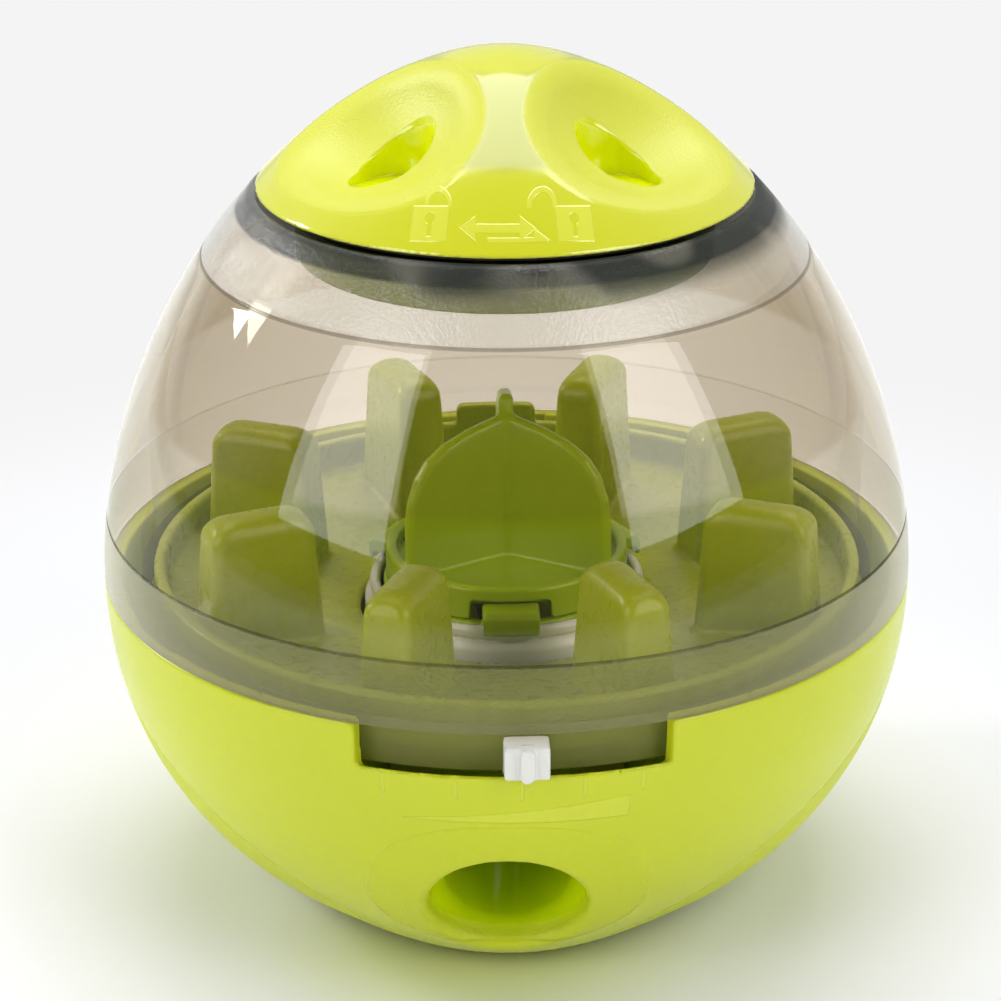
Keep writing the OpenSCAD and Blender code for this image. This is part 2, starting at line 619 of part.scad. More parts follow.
// Maze dish: a sloping floor round the hub with a rim and eight round-topped posts.
module maze_dish() color(lime) {
    difference() {
        turned([[dish_hole_r, dish_low_z - dish_t], [rib_in_r - dish_t, land_z],
            [dish_r, land_z], [dish_r, dish_rim_z - dish_wall / 4],
            [dish_r - dish_wall / 4, dish_rim_z], [dish_r - 3 * dish_wall / 4, dish_rim_z],
            [dish_r - dish_wall, dish_rim_z - dish_wall / 4], [dish_r - dish_wall, dish_high_z],
            [dish_hole_r, dish_low_z]]);
        standing(key_az, key_w + 2 * run_gap, box(dish_r - dish_wall / 2, dish_r + over,
            land_z - over, land_z + key_h + run_gap));
    }
    intersection() {
        turned(box(dish_r - dish_wall, dish_r, dish_high_z, lift_top_z));
        at_az(180 + inner_turn) translate([0, -lift_w / 2, 0]) cube([ball_d, lift_w, lift_top_z + over]);
    }
    for (i = [0:post_count - 1]) {
        az = (i + 0.5) * 360 / post_count;
        post(az + inner_turn, post_top_z - post_rise * cos(az));
    }
}
// One post: its side view and its end view meet, so its top is round both ways.
module post(az, top) {
    mid_r = (post_in_r + post_out_r) / 2;
    half_l = (post_out_r - post_in_r) / 2;
    foot_z = dish_low_z - dish_t / 2 + dish_slope * (mid_r - dish_hole_r);
    at_az(az) translate([mid_r, 0, foot_z]) intersection() {
        translate([0, post_foot_t, 0]) rotate([90, 0, 0]) linear_extrude(2 * post_foot_t)
            polygon(round_top(half_l, half_l - post_end_lean, top - foot_z, post_corner));
        translate([-half_l - over, 0, 0]) rotate([90, 0, 90]) linear_extrude(2 * (half_l + over))
            polygon(round_top(post_foot_t / 2, post_top_t / 2, top - foot_z, post_top_t / 2));
    }
}
// Upright outline with leaning sides and round upper corners.
function round_top(foot_half, top_half, h, corner) = concat([[-foot_half, 0], [foot_half, 0]],
    [for (i = [0:corner_steps]) let (a = 90 * i / corner_steps)
        [top_half - corner + corner * cos(a), h - corner + corner * sin(a)]],
    [for (i = [0:corner_steps]) let (a = 90 + 90 * i / corner_steps)
        [corner - top_half + corner * cos(a), h - corner + corner * sin(a)]]);

// Dome: the clear smoke shell, stepped onto the base, with lugs and a lipped filling neck.
module dome() color([0.45, 0.40, 0.36, 0.45]) {
    difference() {
        turned(concat([[skirt_r, skirt_z], [skirt_r, dome_foot_z]],
            crown_points(dome_foot_z, band_z - line_size, 3),
            [[crown_r_at(band_z) - line_size, band_z]],
            crown_points(band_z + line_size, shoulder_z - line_size, crown_steps),
            [[crown_r_at(shoulder_z) - line_size, shoulder_z]],
            crown_points(shoulder_z + line_size, lip_z, 4),
            [[neck_r, lip_z], [neck_r, lip_z - lip_t]],
            reversed(dome_inside), [[skirt_r - skirt_wall, step_z], [skirt_r - skirt_wall, skirt_z]]));
        for (az = plug_lug_azs) sector(az, plug_lug_half + side_play,
            box(neck_r - over, plug_lug_r + run_gap, lip_z - lip_t - over, lip_z + over));
    }
    for (az = skirt_lug_azs) sector(az, skirt_lug_half, box(skirt_r - skirt_wall / 2,
        skirt_r + skirt_lug_out, skirt_lug_z - skirt_lug_h / 2, skirt_lug_z + skirt_lug_h / 2));
}
dome_low_z = step_z + skirt_r - skirt_wall - dome_in_r;
dome_inside = [for (p = inset(crown_points(dome_low_z, lip_z - lip_t / 2, crown_steps), dome_wall))
    [min(p[0], dome_in_r), p[1]]];

// Seal: a flat dark ring between the dome's lip and the cap.
module cap_seal() color([0.15, 0.15, 0.16])
    turned(box(seal_in_r, seal_out_r, lip_z + seat_gap, cap_z - seat_gap));

// Cap: the lime crown with three finger scoops, each with a pocket.
module cap_shell() color([0.87, 0.90, 0.22]) {
    difference() {
        turned(concat([[0, cap_z]], cap_outline, [[0, crown_z]]));
        scoops(0);
        pockets(0, pocket_floor_z);
        difference() {
            cap_inside();
            scoops(cap_wall);
            pockets(pocket_wall, pocket_floor_z - pocket_wall);
        }
        translate([0, 0, cap_z - over])
            cylinder(r = plug_r + run_gap, h = plug_top_z + seat_gap - cap_z + over);
    }
    difference() {
        intersection() {
            place(boss_azs, cap_screw_at, plug_top_z + seat_gap) cylinder(r = boss_r, h = crown_h);
            turned(concat([[0, cap_z]], inset(cap_outline, cap_wall / 2), [[0, cap_z]]));
        }
        place(boss_azs, cap_screw_at, plug_top_z)
            cylinder(r = screw_r + pin_gap, h = screw_bite + over);
    }
}
boss_azs = [for (i = [0:scoop_count - 1]) i * scoop_turn];
cap_outline = [for (i = [0:cap_steps]) let (r = cap_rim_r * (1 - i / cap_steps)) [r, crown_z_at(r)]];
cap_inner = inset(cap_outline, cap_wall);
module cap_inside() turned(concat([[0, cap_z - over], [cap_inner[0][0], cap_z - over]], cap_inner,
    [[0, crown_z - cap_wall]]));
// Finger scoops: barrel-shaped cutters, flatter across the slope than along it.
module scoops(grow) for (i = [0:scoop_count - 1]) at_az((i + 0.5) * scoop_turn)
    translate([scoop_at, 0, crown_z_at(scoop_at)]) rotate([0, scoop_tilt, 0])
    translate([0, 0, scoop_across_r - scoop_depth]) rotate([0, 90, 0]) rotate_extrude()
        translate([scoop_across_r - scoop_along_r, 0]) circle(r = scoop_along_r + grow);
// Pockets: a wide slot that runs into a narrow round end, straight down.
module pockets(grow, floor_z) for (i = [0:scoop_count - 1]) at_az((i + 0.5) * scoop_turn)
    translate([0, 0, floor_z]) {
        pocket_slot(pocket_in, pocket_in + pocket_wide + pocket_stretch, pocket_wide, grow);
        pocket_slot(pocket_in + pocket_wide / 2, pocket_out, pocket_narrow, grow);
    }
module pocket_slot(from, to, wide, grow) {
    for (x = [from + wide / 2, to - wide / 2]) translate([x, 0, 0])
        cylinder(r = wide / 2 + grow, h = crown_h);
    translate([from + wide / 2, -wide / 2 - grow, 0]) cube([to - from - wide, wide + 2 * grow, crown_h]);
}

// Plug: a cup under the cap whose lugs twist under the dome's lip.
module cap_plug() color(lime) {
    difference() {
        turned([[0, plug_plate_z], [plug_r - plug_wall, plug_plate_z], [plug_r - plug_wall, plug_z],
            [plug_r, plug_z], [plug_r, plug_top_z], [0, plug_top_z]]);
        place(boss_azs, cap_screw_at, plug_plate_z - over)
            cylinder(r = screw_r + run_gap, h = plug_top_z - plug_plate_z + 2 * over);
    }
    for (az = plug_lug_azs) sector(az, plug_lug_half, box(plug_r - plug_wall / 2, plug_lug_r,
        plug_lug_top_z - plug_lug_h, plug_lug_top_z));
}
module cap_screws() color([0.75, 0.76, 0.78])
    place(boss_azs, cap_screw_at, plug_plate_z) mirror([0, 0, 1]) screw(plug_top_z - plug_plate_z);

base_shell();
counterweight();
weight_screws();
outlet_funnel();
funnel_screws();
feed_hood();
adjuster_ring();
maze_dish();
dome();
cap_seal();
cap_shell();
cap_plug();
cap_screws();
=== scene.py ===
# Treat dispensing ball: looks for the photograph's view. Sizes are in millimetres, and each mesh is
# brought to metres when it is made. The ball stands on z = 0 and its outlet faces -Y.
import math

import bpy
import numpy as np
from mathutils import Matrix


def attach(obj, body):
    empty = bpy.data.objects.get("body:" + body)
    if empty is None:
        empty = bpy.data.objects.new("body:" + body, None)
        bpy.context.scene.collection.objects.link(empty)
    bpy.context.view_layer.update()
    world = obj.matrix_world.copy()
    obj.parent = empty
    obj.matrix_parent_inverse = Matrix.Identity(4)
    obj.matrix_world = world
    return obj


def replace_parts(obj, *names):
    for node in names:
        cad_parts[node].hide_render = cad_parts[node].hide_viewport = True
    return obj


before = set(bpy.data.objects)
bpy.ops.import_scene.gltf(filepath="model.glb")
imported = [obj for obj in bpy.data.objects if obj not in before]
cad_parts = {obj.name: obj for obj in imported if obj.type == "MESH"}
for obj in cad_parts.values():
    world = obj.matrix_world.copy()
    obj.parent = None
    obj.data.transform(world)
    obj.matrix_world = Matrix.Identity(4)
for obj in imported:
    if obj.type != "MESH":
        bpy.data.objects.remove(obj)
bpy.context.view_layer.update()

# Studio: a white floor that runs out of sight behind the ball, with a painted shadow in front of the ball's foot,
# two tall softboxes at the front corners, a broad panel above and behind, and one small lamp at the left.
scene = bpy.context.scene
scene.view_settings.view_transform = "Standard"


class Wire:
    """A value in a finish's node tree, which adds Math nodes when it is reckoned with."""

    def __init__(self, finish, socket):
        self.finish, self.socket = finish, socket

    def math(self, operation, first, second=None):
        values = {0: first} if second is None else {0: first, 1: second}
        made = self.finish.add("ShaderNodeMath", {"operation": operation}, values)
        return Wire(self.finish, made.outputs[0])

    def __add__(self, other):
        return self.math("ADD", self, other)

    def __sub__(self, other):
        return self.math("SUBTRACT", self, other)

    def __rsub__(self, other):
        return self.math("SUBTRACT", other, self)

    def __mul__(self, other):
        return self.math("MULTIPLY", self, other)

    def __truediv__(self, other):
        return self.math("DIVIDE", self, other)

    __radd__, __rmul__ = __add__, __mul__

    def __abs__(self):
        return self.math("ABSOLUTE", self)

    def power(self, other):
        return self.math("POWER", self, other)

    def larger(self, other):
        return self.math("MAXIMUM", self, other)

    def smaller(self, other):
        return self.math("MINIMUM", self, other)

    def below(self, limit, blur):
        """1 where this is under the limit and 0 over it, with a soft step."""
        made = self.finish.add("ShaderNodeMapRange", {"interpolation_type": "SMOOTHSTEP"},
            {"Value": self, "From Min": limit - blur / 2, "From Max": limit + blur / 2,
             "To Min": 1.0, "To Max": 0.0})
        return Wire(self.finish, made.outputs["Result"])


class Finish:
    """A material or the world, whose nodes come from add."""

    def __init__(self, name, owner=None):
        self.owner = owner or bpy.data.materials.new(name)
        self.owner.use_nodes = True
        self.tree = self.owner.node_tree
        self.tree.nodes.clear()

    def add(self, kind, settings=None, values=None):
        node = self.tree.nodes.new(kind)
        for name, setting in (settings or {}).items():
            setattr(node, name, setting)
        for name, value in (values or {}).items():
            source = value.socket if isinstance(value, Wire) else value
            if isinstance(source, bpy.types.NodeSocket):
                self.tree.links.new(source, node.inputs[name])
            else:
                node.inputs[name].default_value = source
        return node

    def wire(self, node, output=0):
        return Wire(self, node.outputs[output])

    def place(self):
        """X, Y and Z on the piece, in millimetres."""
        where = self.add("ShaderNodeTexCoord").outputs["Object"]
        parts = self.add("ShaderNodeSeparateXYZ", values={0: where})
        return [Wire(self, parts.outputs[i]) * 1000 for i in range(3)], where

    def grain(self, where, size, detail=2.0):
        """Noise from 0 to 1, whose grains are about size millimetres across."""
        made = self.add("ShaderNodeTexNoise", values={"Vector": where, "Scale": 1000 / size, "Detail": detail})
        return self.wire(made, "Fac")

    def blend(self, factor, low, high):
        """A colour between two colours."""
        made = self.add("ShaderNodeMix", {"data_type": "RGBA"}, {0: factor, 6: low, 7: high})
        return made.outputs[2]


def srgb(red, green, blue):
    """A colour as written in a picture, 0 to 255, as the light values that shaders use."""
    return tuple((v / 255 / 12.92 if v <= 10 else ((v / 255 + 0.055) / 1.055) ** 2.4)
                 for v in (red, green, blue)) + (1.0,)


paper = Finish("floor_paper")
paper_light = paper.add("ShaderNodeLightPath")
seen = paper.wire(paper_light, "Is Camera Ray").larger(paper.wire(paper_light, "Is Transmission Ray"))
(fx, fy, _), _ = paper.place()
from_ball = (fx.power(2.0) + fy.power(2.0)).power(0.5)
# painted shadow: in front of the ball's foot the floor is painted darker and lime-tinted, standing in for the
# contact shadow and the lime light thrown back
from_foot = ((fx + 3).power(2.0) + ((fy + 30) * 1.3).power(2.0)).power(0.5)
far, under = 1 - from_ball.below(130, 150), from_foot.below(19, 28)
paper_painted_shadow_tone = paper.blend(under, srgb(231, 231, 236), srgb(206, 210, 156))
paper_matt = paper.add("ShaderNodeBsdfDiffuse", values={
    "Color": paper.blend(seen, srgb(236, 237, 234), paper_painted_shadow_tone)})
paper_plain = paper.add("ShaderNodeEmission", values={"Color": srgb(244, 244, 244), "Strength": 1.0})
paper_both = paper.add("ShaderNodeMixShader", values={
    0: far * seen, 1: paper_matt.outputs[0], 2: paper_plain.outputs[0]})
paper.add("ShaderNodeOutputMaterial", values={"Surface": paper_both.outputs[0]})
floor_mesh = bpy.data.meshes.new("floor")
floor_mesh.from_pydata([(-2.5, -1.6, 0), (2.5, -1.6, 0), (2.5, 2.6, 0), (-2.5, 2.6, 0)], [], [(0, 1, 2, 3)])
floor_mesh.materials.append(paper.owner)
floor = bpy.data.objects.new("floor", floor_mesh)
floor.location.z = -0.00005
scene.collection.objects.link(floor)

# the room is pale behind the ball and dim in front of it
room = Finish("room", bpy.data.worlds.new("room"))
scene.world = room.owner
room_way = room.add("ShaderNodeSeparateXYZ", values={0: room.add("ShaderNodeTexCoord").outputs["Generated"]})
behind = 1 - room.wire(room_way, "Y").below(0.05, 0.9)
room_seen = room.wire(room.add("ShaderNodeLightPath"), "Is Camera Ray")
room_tone = room.blend(behind, srgb(78, 80, 82), srgb(222, 223, 222))
room_light = room.add("ShaderNodeBackground", values={
    "Color": room.blend(room_seen, room_tone, srgb(244, 244, 244)), "Strength": 1.0})
room.add("ShaderNodeOutputWorld", values={"Surface": room_light.outputs[0]})


def lamp(name, middle, size, brightness, aim=(0, 0, 0.06)):
    """A flat lamp of a width and height in metres, which shines at a point; brightness 1 looks white."""
    light = bpy.data.lights.new(name, "AREA")
    light.shape, light.size, light.size_y = "RECTANGLE", size[0], size[1]
    light.energy = brightness * math.pi * size[0] * size[1]
    made = bpy.data.objects.new(name, light)
    toward = Matrix.Translation(middle).to_translation() - Matrix.Translation(aim).to_translation()
    made.matrix_world = Matrix.Translation(middle) @ toward.to_track_quat("Z", "Y").to_matrix().to_4x4()
    scene.collection.objects.link(made)
    return made


def around(azimuth, distance, height):
    """A place at an azimuth from the front, towards +X."""
    a = math.radians(azimuth)
    return (distance * math.sin(a), -distance * math.cos(a), height)


lamp("softbox_right", around(52.5, 0.80, 0.74), (0.52, 1.08), 3.6, around(52.5, 0.0, 0.74))
lamp("softbox_left", around(-50, 0.80, 0.60), (0.47, 0.84), 3.6, around(-50, 0.0, 0.60))
lamp("panel_above", (0.05, 0.42, 1.05), (0.85, 0.84), 3.3, (0.05, 0.42, 0))
lamp("lamp_left", around(-112, 0.85, 0.46), (0.15, 0.24), 20.0)

camera_data = bpy.data.cameras.new("camera")
camera_data.lens, camera_data.sensor_width = 107.9, 36
camera_data.clip_start = 0.01
camera = bpy.data.objects.new("camera", camera_data)
camera.matrix_world = (Matrix.Translation((0, -0.36482, 0.20398))
    @ Matrix.Rotation(math.radians(0.118), 4, "Z")
    @ Matrix.Rotation(math.radians(67.106), 4, "X")
    @ Matrix.Rotation(math.radians(-0.278), 4, "Z"))
scene.collection.objects.link(camera)
scene.camera = camera

# Base: the lower shell, injection moulded in opaque lime plastic with a satin skin. The chute is
# moulded with it; six ribs carry the maze dish, and bosses take the screws of hub and weight.
ball_r, belt_z, bowl_depth, bowl_power = 53.0, 42.5, 50.0, 2.107
crown_h, crown_across, crown_up = 68.4, 1.739, 1.83
shell_wall, foot_r, foot_join_z = 2.3, 16.0, 1.6
window_az, window_half, sill_z, sill_fall = 0.9, 20.9, 37.2, math.radians(32)
rib_t, rib_in_r, rib_foot_z, land_z = 1.6, 43.2, 24.0, 37.1
chute_r, chute_wall, chute_top_z, chute_fall = 8.0, 1.6, 20.5, math.atan(6.6 / 43.4)
mouth_balls = ((10.0, -43.4, 13.0), (9.6, -45.2, 14.5))
hub_r, hub_ball_z, flange_r, flange_z = 16.4, 26.0, 25.0, 29.0
inner_turn = 1.9


def bowl_r_at(z):
    return ball_r * max(0.0, 1 - ((belt_z - z) / bowl_depth) ** bowl_power) ** (1 / bowl_power)


def crown_r_at(z):
    return ball_r * (1 - ((z - belt_z) / crown_h) ** crown_up) ** (1 / crown_across)


def crown_z_at(r):
    return belt_z + crown_h * (1 - (r / ball_r) ** crown_across) ** (1 / crown_up)


def inset(points, wall):
    """Points moved inwards by a wall, square to the outline."""
    moved = []
    for i, (r, z) in enumerate(points):
        a, b = points[max(i - 1, 0)], points[min(i + 1, len(points) - 1)]
        dr, dz = b[0] - a[0], b[1] - a[1]
        n = math.hypot(dr, dz)
        moved.append((max(0.0, r - wall * dz / n), z + wall * dr / n))
    return moved


def softened(points, edge, steps=4):
    """An outline whose corners in edge, {point number: radius}, become arcs."""
    made = []
    for i, p in enumerate(points):
        if i not in edge:
            made.append(p)
            continue
        p, a, b = np.array(p, float), np.array(points[i - 1], float), np.array(points[(i + 1) % len(points)], float)
        u, v = (a - p) / np.linalg.norm(a - p), (b - p) / np.linalg.norm(b - p)
        half = math.acos(max(-1, min(1, float(u @ v)))) / 2
        reach = edge[i] / math.tan(half)
        middle = p + (u + v) / np.linalg.norm(u + v) * edge[i] / math.sin(half)
        start, end = p + u * reach - middle, p + v * reach - middle
        for s in np.linspace(0, 1, steps + 1):
            w = start * (1 - s) + end * s
            made.append(tuple(middle + w / np.linalg.norm(w) * edge[i]))
    return made


def outline_field(points, fine=0.1):
    """How far a point lies outside a closed outline, below 0 inside, read from a fine table."""
    p = np.array(points, float)
    low = p.min(0) - 3
    size = np.ceil((p.max(0) + 3 - low) / fine).astype(int) + 1
    a, b = np.meshgrid(low[0] + fine * np.arange(size[0]), low[1] + fine * np.arange(size[1]), indexing="ij")
    near, inside = np.full(a.shape, 1e9), np.zeros(a.shape, bool)
    for (a0, b0), (a1, b1) in zip(p, np.roll(p, -1, 0)):
        ea, eb = a1 - a0, b1 - b0
        if ea == eb == 0:
            continue
        t = np.clip(((a - a0) * ea + (b - b0) * eb) / (ea * ea + eb * eb), 0, 1)
        near = np.minimum(near, (a - a0 - t * ea) ** 2 + (b - b0 - t * eb) ** 2)
        if eb != 0:
            inside ^= ((b0 <= b) != (b1 <= b)) & (a < a0 + (b - b0) * ea / eb)
    table = np.where(inside, -1, 1) * np.sqrt(near)

    def field(u, v):
        i = np.clip((u - low[0]) / fine, 0, size[0] - 1.001)
        j = np.clip((v - low[1]) / fine, 0, size[1] - 1.001)
        i0, j0 = i.astype(np.int32), j.astype(np.int32)
        i, j = i - i0, j - j0
        return ((table[i0, j0] * (1 - i) + table[i0 + 1, j0] * i) * (1 - j)
                + (table[i0, j0 + 1] * (1 - i) + table[i0 + 1, j0 + 1] * i) * j)
    return field


def meet(a, b, edge):
    """What two solids share, with an edge of that radius."""
    return np.minimum(np.maximum(a, b), -edge) + np.hypot(np.maximum(a + edge, 0), np.maximum(b + edge, 0))


def join(a, b, edge):
    return -meet(-a, -b, edge)


def cut(a, b, edge):
    return meet(a, -b, edge)


def radial(x, y, az):
    """Distance from the axis towards an azimuth, and sideways from that line."""
    s, c = math.sin(math.radians(az)), math.cos(math.radians(az))
    return x * s - y * c, x * c + y * s


def plate(x, y, z, az, thick, side, edge):
    """An upright plate that stands on an azimuth, with its side view given as a field."""
    u, w = radial(x, y, az)
    return meet(np.abs(w) - thick / 2, side(u, z), edge)


def stub(x, y, z, az, r, rad, low, high, edge=0.3):
    """An upright cylinder at an azimuth and radius."""
    u, w = radial(x, y, az)
    return meet(np.hypot(u - r, w) - rad, np.maximum(low - z, z - high), edge)


def sector(x, y, az, half):
    """Below 0 within half a turn's degrees of an azimuth, as a distance in millimetres."""
    turn = (np.degrees(np.arctan2(x, -y)) - az + 180) % 360 - 180
    return np.hypot(x, y) * np.radians(np.clip(np.abs(turn) - half, -60, 60))


def finish_mesh(name, points, faces, normals, finishes, body, slot, node):
    """Makes the piece from points in millimetres, with its normals, finish, body and CAD node."""
    mesh = bpy.data.meshes.new(name)
    mesh.vertices.add(len(points))
    mesh.vertices.foreach_set("co", (np.asarray(points) * 0.001).astype(np.float32).ravel())
    mesh.loops.add(faces.size)
    mesh.loops.foreach_set("vertex_index", faces.astype(np.int32).ravel())
    mesh.polygons.add(len(faces))
    mesh.polygons.foreach_set("loop_start", np.arange(0, faces.size, faces.shape[1], dtype=np.int32))
    mesh.update(calc_edges=True)
    mesh.validate()
    mesh.polygons.foreach_set("use_smooth", np.ones(len(mesh.polygons), bool))
    if normals is None:
        mesh.set_sharp_from_angle(angle=math.radians(34))
    else:
        mesh.normals_split_custom_set_from_vertices(normals)
    mesh.materials.append(finishes.owner)
    piece = bpy.data.objects.new(name, mesh)
    scene.collection.objects.link(piece)
    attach(piece, body)
    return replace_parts(piece, node)


def moulded(name, field, low, high, step, *more):
    """Meshes the surface where the field is 0: one point in each cell that the surface crosses."""
    step = step * 1
    grid = [np.arange(a, b + step, step) for a, b in zip(low, high)]
    start = np.array([g[0] for g in grid])
    x, y, z = np.meshgrid(*grid, indexing="ij", sparse=False)
    value = field(x, y, z)
    inside = value < 0
    nx, ny, nz = (n - 1 for n in value.shape)
    corners = [np.array(c) for c in np.ndindex(2, 2, 2)]
    count = sum(inside[i:nx + i, j:ny + j, k:nz + k].astype(np.int8) for i, j, k in corners)
    mixed = (count > 0) & (count < 8)
    number = np.full(mixed.shape, -1)
    number[mixed] = np.arange(mixed.sum())
    cells = np.argwhere(mixed)
    total, crossings = np.zeros((len(cells), 3)), np.zeros((len(cells), 1))
    for a in corners:
        for b in corners:
            if (b - a).sum() == 1 and ((b - a) >= 0).all():
                va, vb = (value[tuple((cells + c).T)] for c in (a, b))
                crossed = ((va < 0) != (vb < 0))[:, None]
                share = (va / np.where(va == vb, 1, va - vb))[:, None]
                total += np.where(crossed, a + share * (b - a), 0)
                crossings += crossed
    points = start + step * (cells + total / crossings)

    def slope(p, h=0.08):
        g = np.stack([field(*(p + h * e).T) - field(*(p - h * e).T) for e in np.eye(3)], 1) / (2 * h)
        return g, np.maximum(np.linalg.norm(g, axis=1, keepdims=True), 0.2)

    for _ in range(3):
        g, size = slope(points)
        move = -field(*points.T)[:, None] * g / size ** 2
        points = points + np.clip(move, -step / 3, step / 3)
    g, size = slope(points)
    faces = []
    for d in range(3):
        u, v = (d + 1) % 3, (d + 2) % 3
        edges = [slice(None)] * 3
        edges[d] = slice(0, -1)
        other = list(edges)
        other[d] = slice(1, None)
        first, second = inside[tuple(edges)], inside[tuple(other)]
        at = np.argwhere(first != second)
        keep = (at[:, u] > 0) & (at[:, v] > 0) & (at[:, u] < mixed.shape[u]) & (at[:, v] < mixed.shape[v])
        at = at[keep]
        out = first[tuple(at.T)]
        ring = []
        for du, dv in ((1, 1), (0, 1), (0, 0), (1, 0)):
            c = at.copy()
            c[:, u] -= du
            c[:, v] -= dv
            ring.append(number[tuple(c.T)])
        ring = np.stack(ring, 1)
        faces.append(np.where(out[:, None], ring, ring[:, ::-1]))
    return finish_mesh(name, points, np.concatenate(faces), g / size, *more)


def bowl_inside(wall):
    points = inset(base_outline, wall)
    return [(0, wall), (foot_r, wall)] + points[1:]


join_slope = (bowl_r_at(foot_join_z * 1.01) - bowl_r_at(foot_join_z)) / (foot_join_z * 0.01)
foot_knee_r = bowl_r_at(foot_join_z) - foot_join_z * join_slope
foot_curve = [((1 - t) ** 2 * foot_r + 2 * t * (1 - t) * foot_knee_r + t * t * bowl_r_at(foot_join_z),
    t * t * foot_join_z) for t in np.arange(8) / 8]
base_outline = foot_curve + [(bowl_r_at(z), z) for z in np.linspace(foot_join_z, belt_z, 40)]
base_hollow = [(p[0] if i else -3, p[1]) for i, p in enumerate(bowl_inside(shell_wall))]
base_profile = [(-3, 0)] + base_outline + base_hollow[::-1]
belt_point = len(base_outline)
base_wall = outline_field(softened(base_profile, {belt_point: 0.45, belt_point + 1: 0.35}))
ball_below = outline_field([(-3, 0)] + base_outline + [(ball_r, 60), (-3, 60)])
rib_back = [(bowl_r_at(z) - shell_wall / 2, z) for z in np.linspace(rib_foot_z, land_z - 0.6, 5)]
rib_side = outline_field(rib_back + [(46.9, 36.5), (46.9, 37.0), (rib_in_r, 37.0), (rib_in_r, 33.1)])
key_side = outline_field(rib_back + [(47.8, 36.5), (47.8, 39.1), (46.05, 39.1), (46.05, 33.1)])


def base_field(x, y, z):
    r = np.hypot(x, y)
    c, s = math.cos(chute_fall), math.sin(chute_fall)
    along = -y * c - (z - chute_top_z) * s
    bore = np.hypot(x, (z - chute_top_z) * c - y * s) - chute_r
    bore = np.maximum(bore, 5 - along)
    for ball, at_y, at_z in mouth_balls:
        bore = join(bore, np.sqrt(x ** 2 + (y - at_y) ** 2 + (z - at_z) ** 2) - ball, 1.0)
    tube = np.maximum(bore - chute_wall, ball_below(r, z) + shell_wall / 2)
    hub = np.where(z < hub_ball_z, np.sqrt(r ** 2 + (z - hub_ball_z) ** 2), r) - hub_r - 0.3
    tube = np.maximum(np.maximum(tube, -hub), np.where(r < flange_r + 0.3, z - flange_z + 0.1, -9))
    pad = 2.2 * np.clip(1 - (x / 22) ** 2, 0, 1) ** 2 * np.clip((24 - z) / 21, 0, 1) ** 2.2 * (y < 0)
    body = join(base_wall(r - pad, z), tube, 1.2)
    for az in (45, 90, 135, 225, 270, 315):
        body = join(body, plate(x, y, z, az, rib_t, rib_side, 0.25), 0.5)
    body = join(body, plate(x, y, z, 180 + inner_turn, 3, key_side, 0.3), 0.5)
    for az in (60, 180, 300):
        body = join(body, stub(x, y, z, az, 21.4, 3, 1.15, 28.9), 0.6)
        body = cut(body, stub(x, y, z, az, 21.4, 1.2, 24, 31, 0), 0.15)
    for az in (120, 240):
        body = join(body, stub(x, y, z, az, 18, 3, 1.15, 6.6), 0.6)
        body = cut(body, stub(x, y, z, az, 18, 1.2, 1.6, 9, 0), 0.15)
    for az in (60, 180, 300):
        groove = np.maximum(np.maximum(r - 51.2, 49 - r), 37.7 - z)
        body = cut(body, np.maximum(groove, sector(x, y, az, 6.5)), 0.15)
        slot = np.maximum(np.maximum(groove, z - 39.9), sector(x, y, az + 12.5, 19))
        body = cut(body, slot, 0.15)
    sill = (sill_z - (ball_r - r) * math.tan(sill_fall) - z) * math.cos(sill_fall)
    opening = meet(sector(x, y, window_az, window_half), np.maximum(sill, 49 - r), 0.4)
    body = cut(body, opening, 0.45)
    return cut(body, bore, 1.3)


# the skin: raised scale marks, the wedge, the grained oval round the outlet and two grip panels
base_skin = Finish("lime_satin")
(px, py, pz), base_where = base_skin.place()
angle = base_skin.wire(base_skin.add("ShaderNodeMath", {"operation": "ARCTAN2"}, {0: px, 1: 0 - py}))
angle = angle * (180 / math.pi)
in_front = py.below(0, 0.1)
tick = None
for az in (-16.4, -6.7, 1.9, 10.1, 17.9):
    mark = (abs(angle - az) * 0.915 - 0.2).larger(abs(pz - 34.95) - 1.35)
    tick = mark if tick is None else tick.smaller(mark)
along_wedge = (angle + 14) / 30.2
wedge = (abs(pz - 30.25 - along_wedge * 1.4) - along_wedge * 1.5 - 0.05).larger(angle - 16.2).larger(-14.0 - angle)
oval = ((abs(px) * (1 / 17.2)).power(2.4) + (abs(pz - 17.4) * (1 / 12.0)).power(2.4)).power(1 / 2.4) - 1
panel_left = ((px + 30).power(2.0) + py.power(2.0) + (pz - 3).power(2.0)).power(0.5) - 36
panel_right = ((px - 30).power(2.0) + py.power(2.0) + (pz - 3).power(2.0)).power(0.5) - 36
panel = panel_left.smaller(panel_right)
bowl_level = ((px.power(2.0) + py.power(2.0)).power(0.5) / ball_r).power(bowl_power) \
    + (abs(belt_z - pz) / bowl_depth).power(bowl_power)
# within: the outlet's hollow, which is smoother and whose lime is painted brighter, as a painted glow for the light
# bouncing inside it
within = bowl_level.below(0.93, 0.08) * in_front * pz.below(26, 2)
grained = ((oval * 12).below(0, 0.4) * in_front * (1 - within)).larger(panel.below(0, 0.5))
marks = tick.below(0, 0.2).larger(wedge.below(0, 0.2)) * in_front
relief = marks * 0.08
relief = relief + grained * 0.12 + grained * base_skin.grain(base_where, 0.42, 3.0) * 0.1
relief = relief + base_skin.grain(base_where, 9.0) * 0.05
bump = base_skin.add("ShaderNodeBump", values={"Strength": 1.0, "Distance": 0.001, "Height": relief})
tone = base_skin.grain(base_where, 26.0)
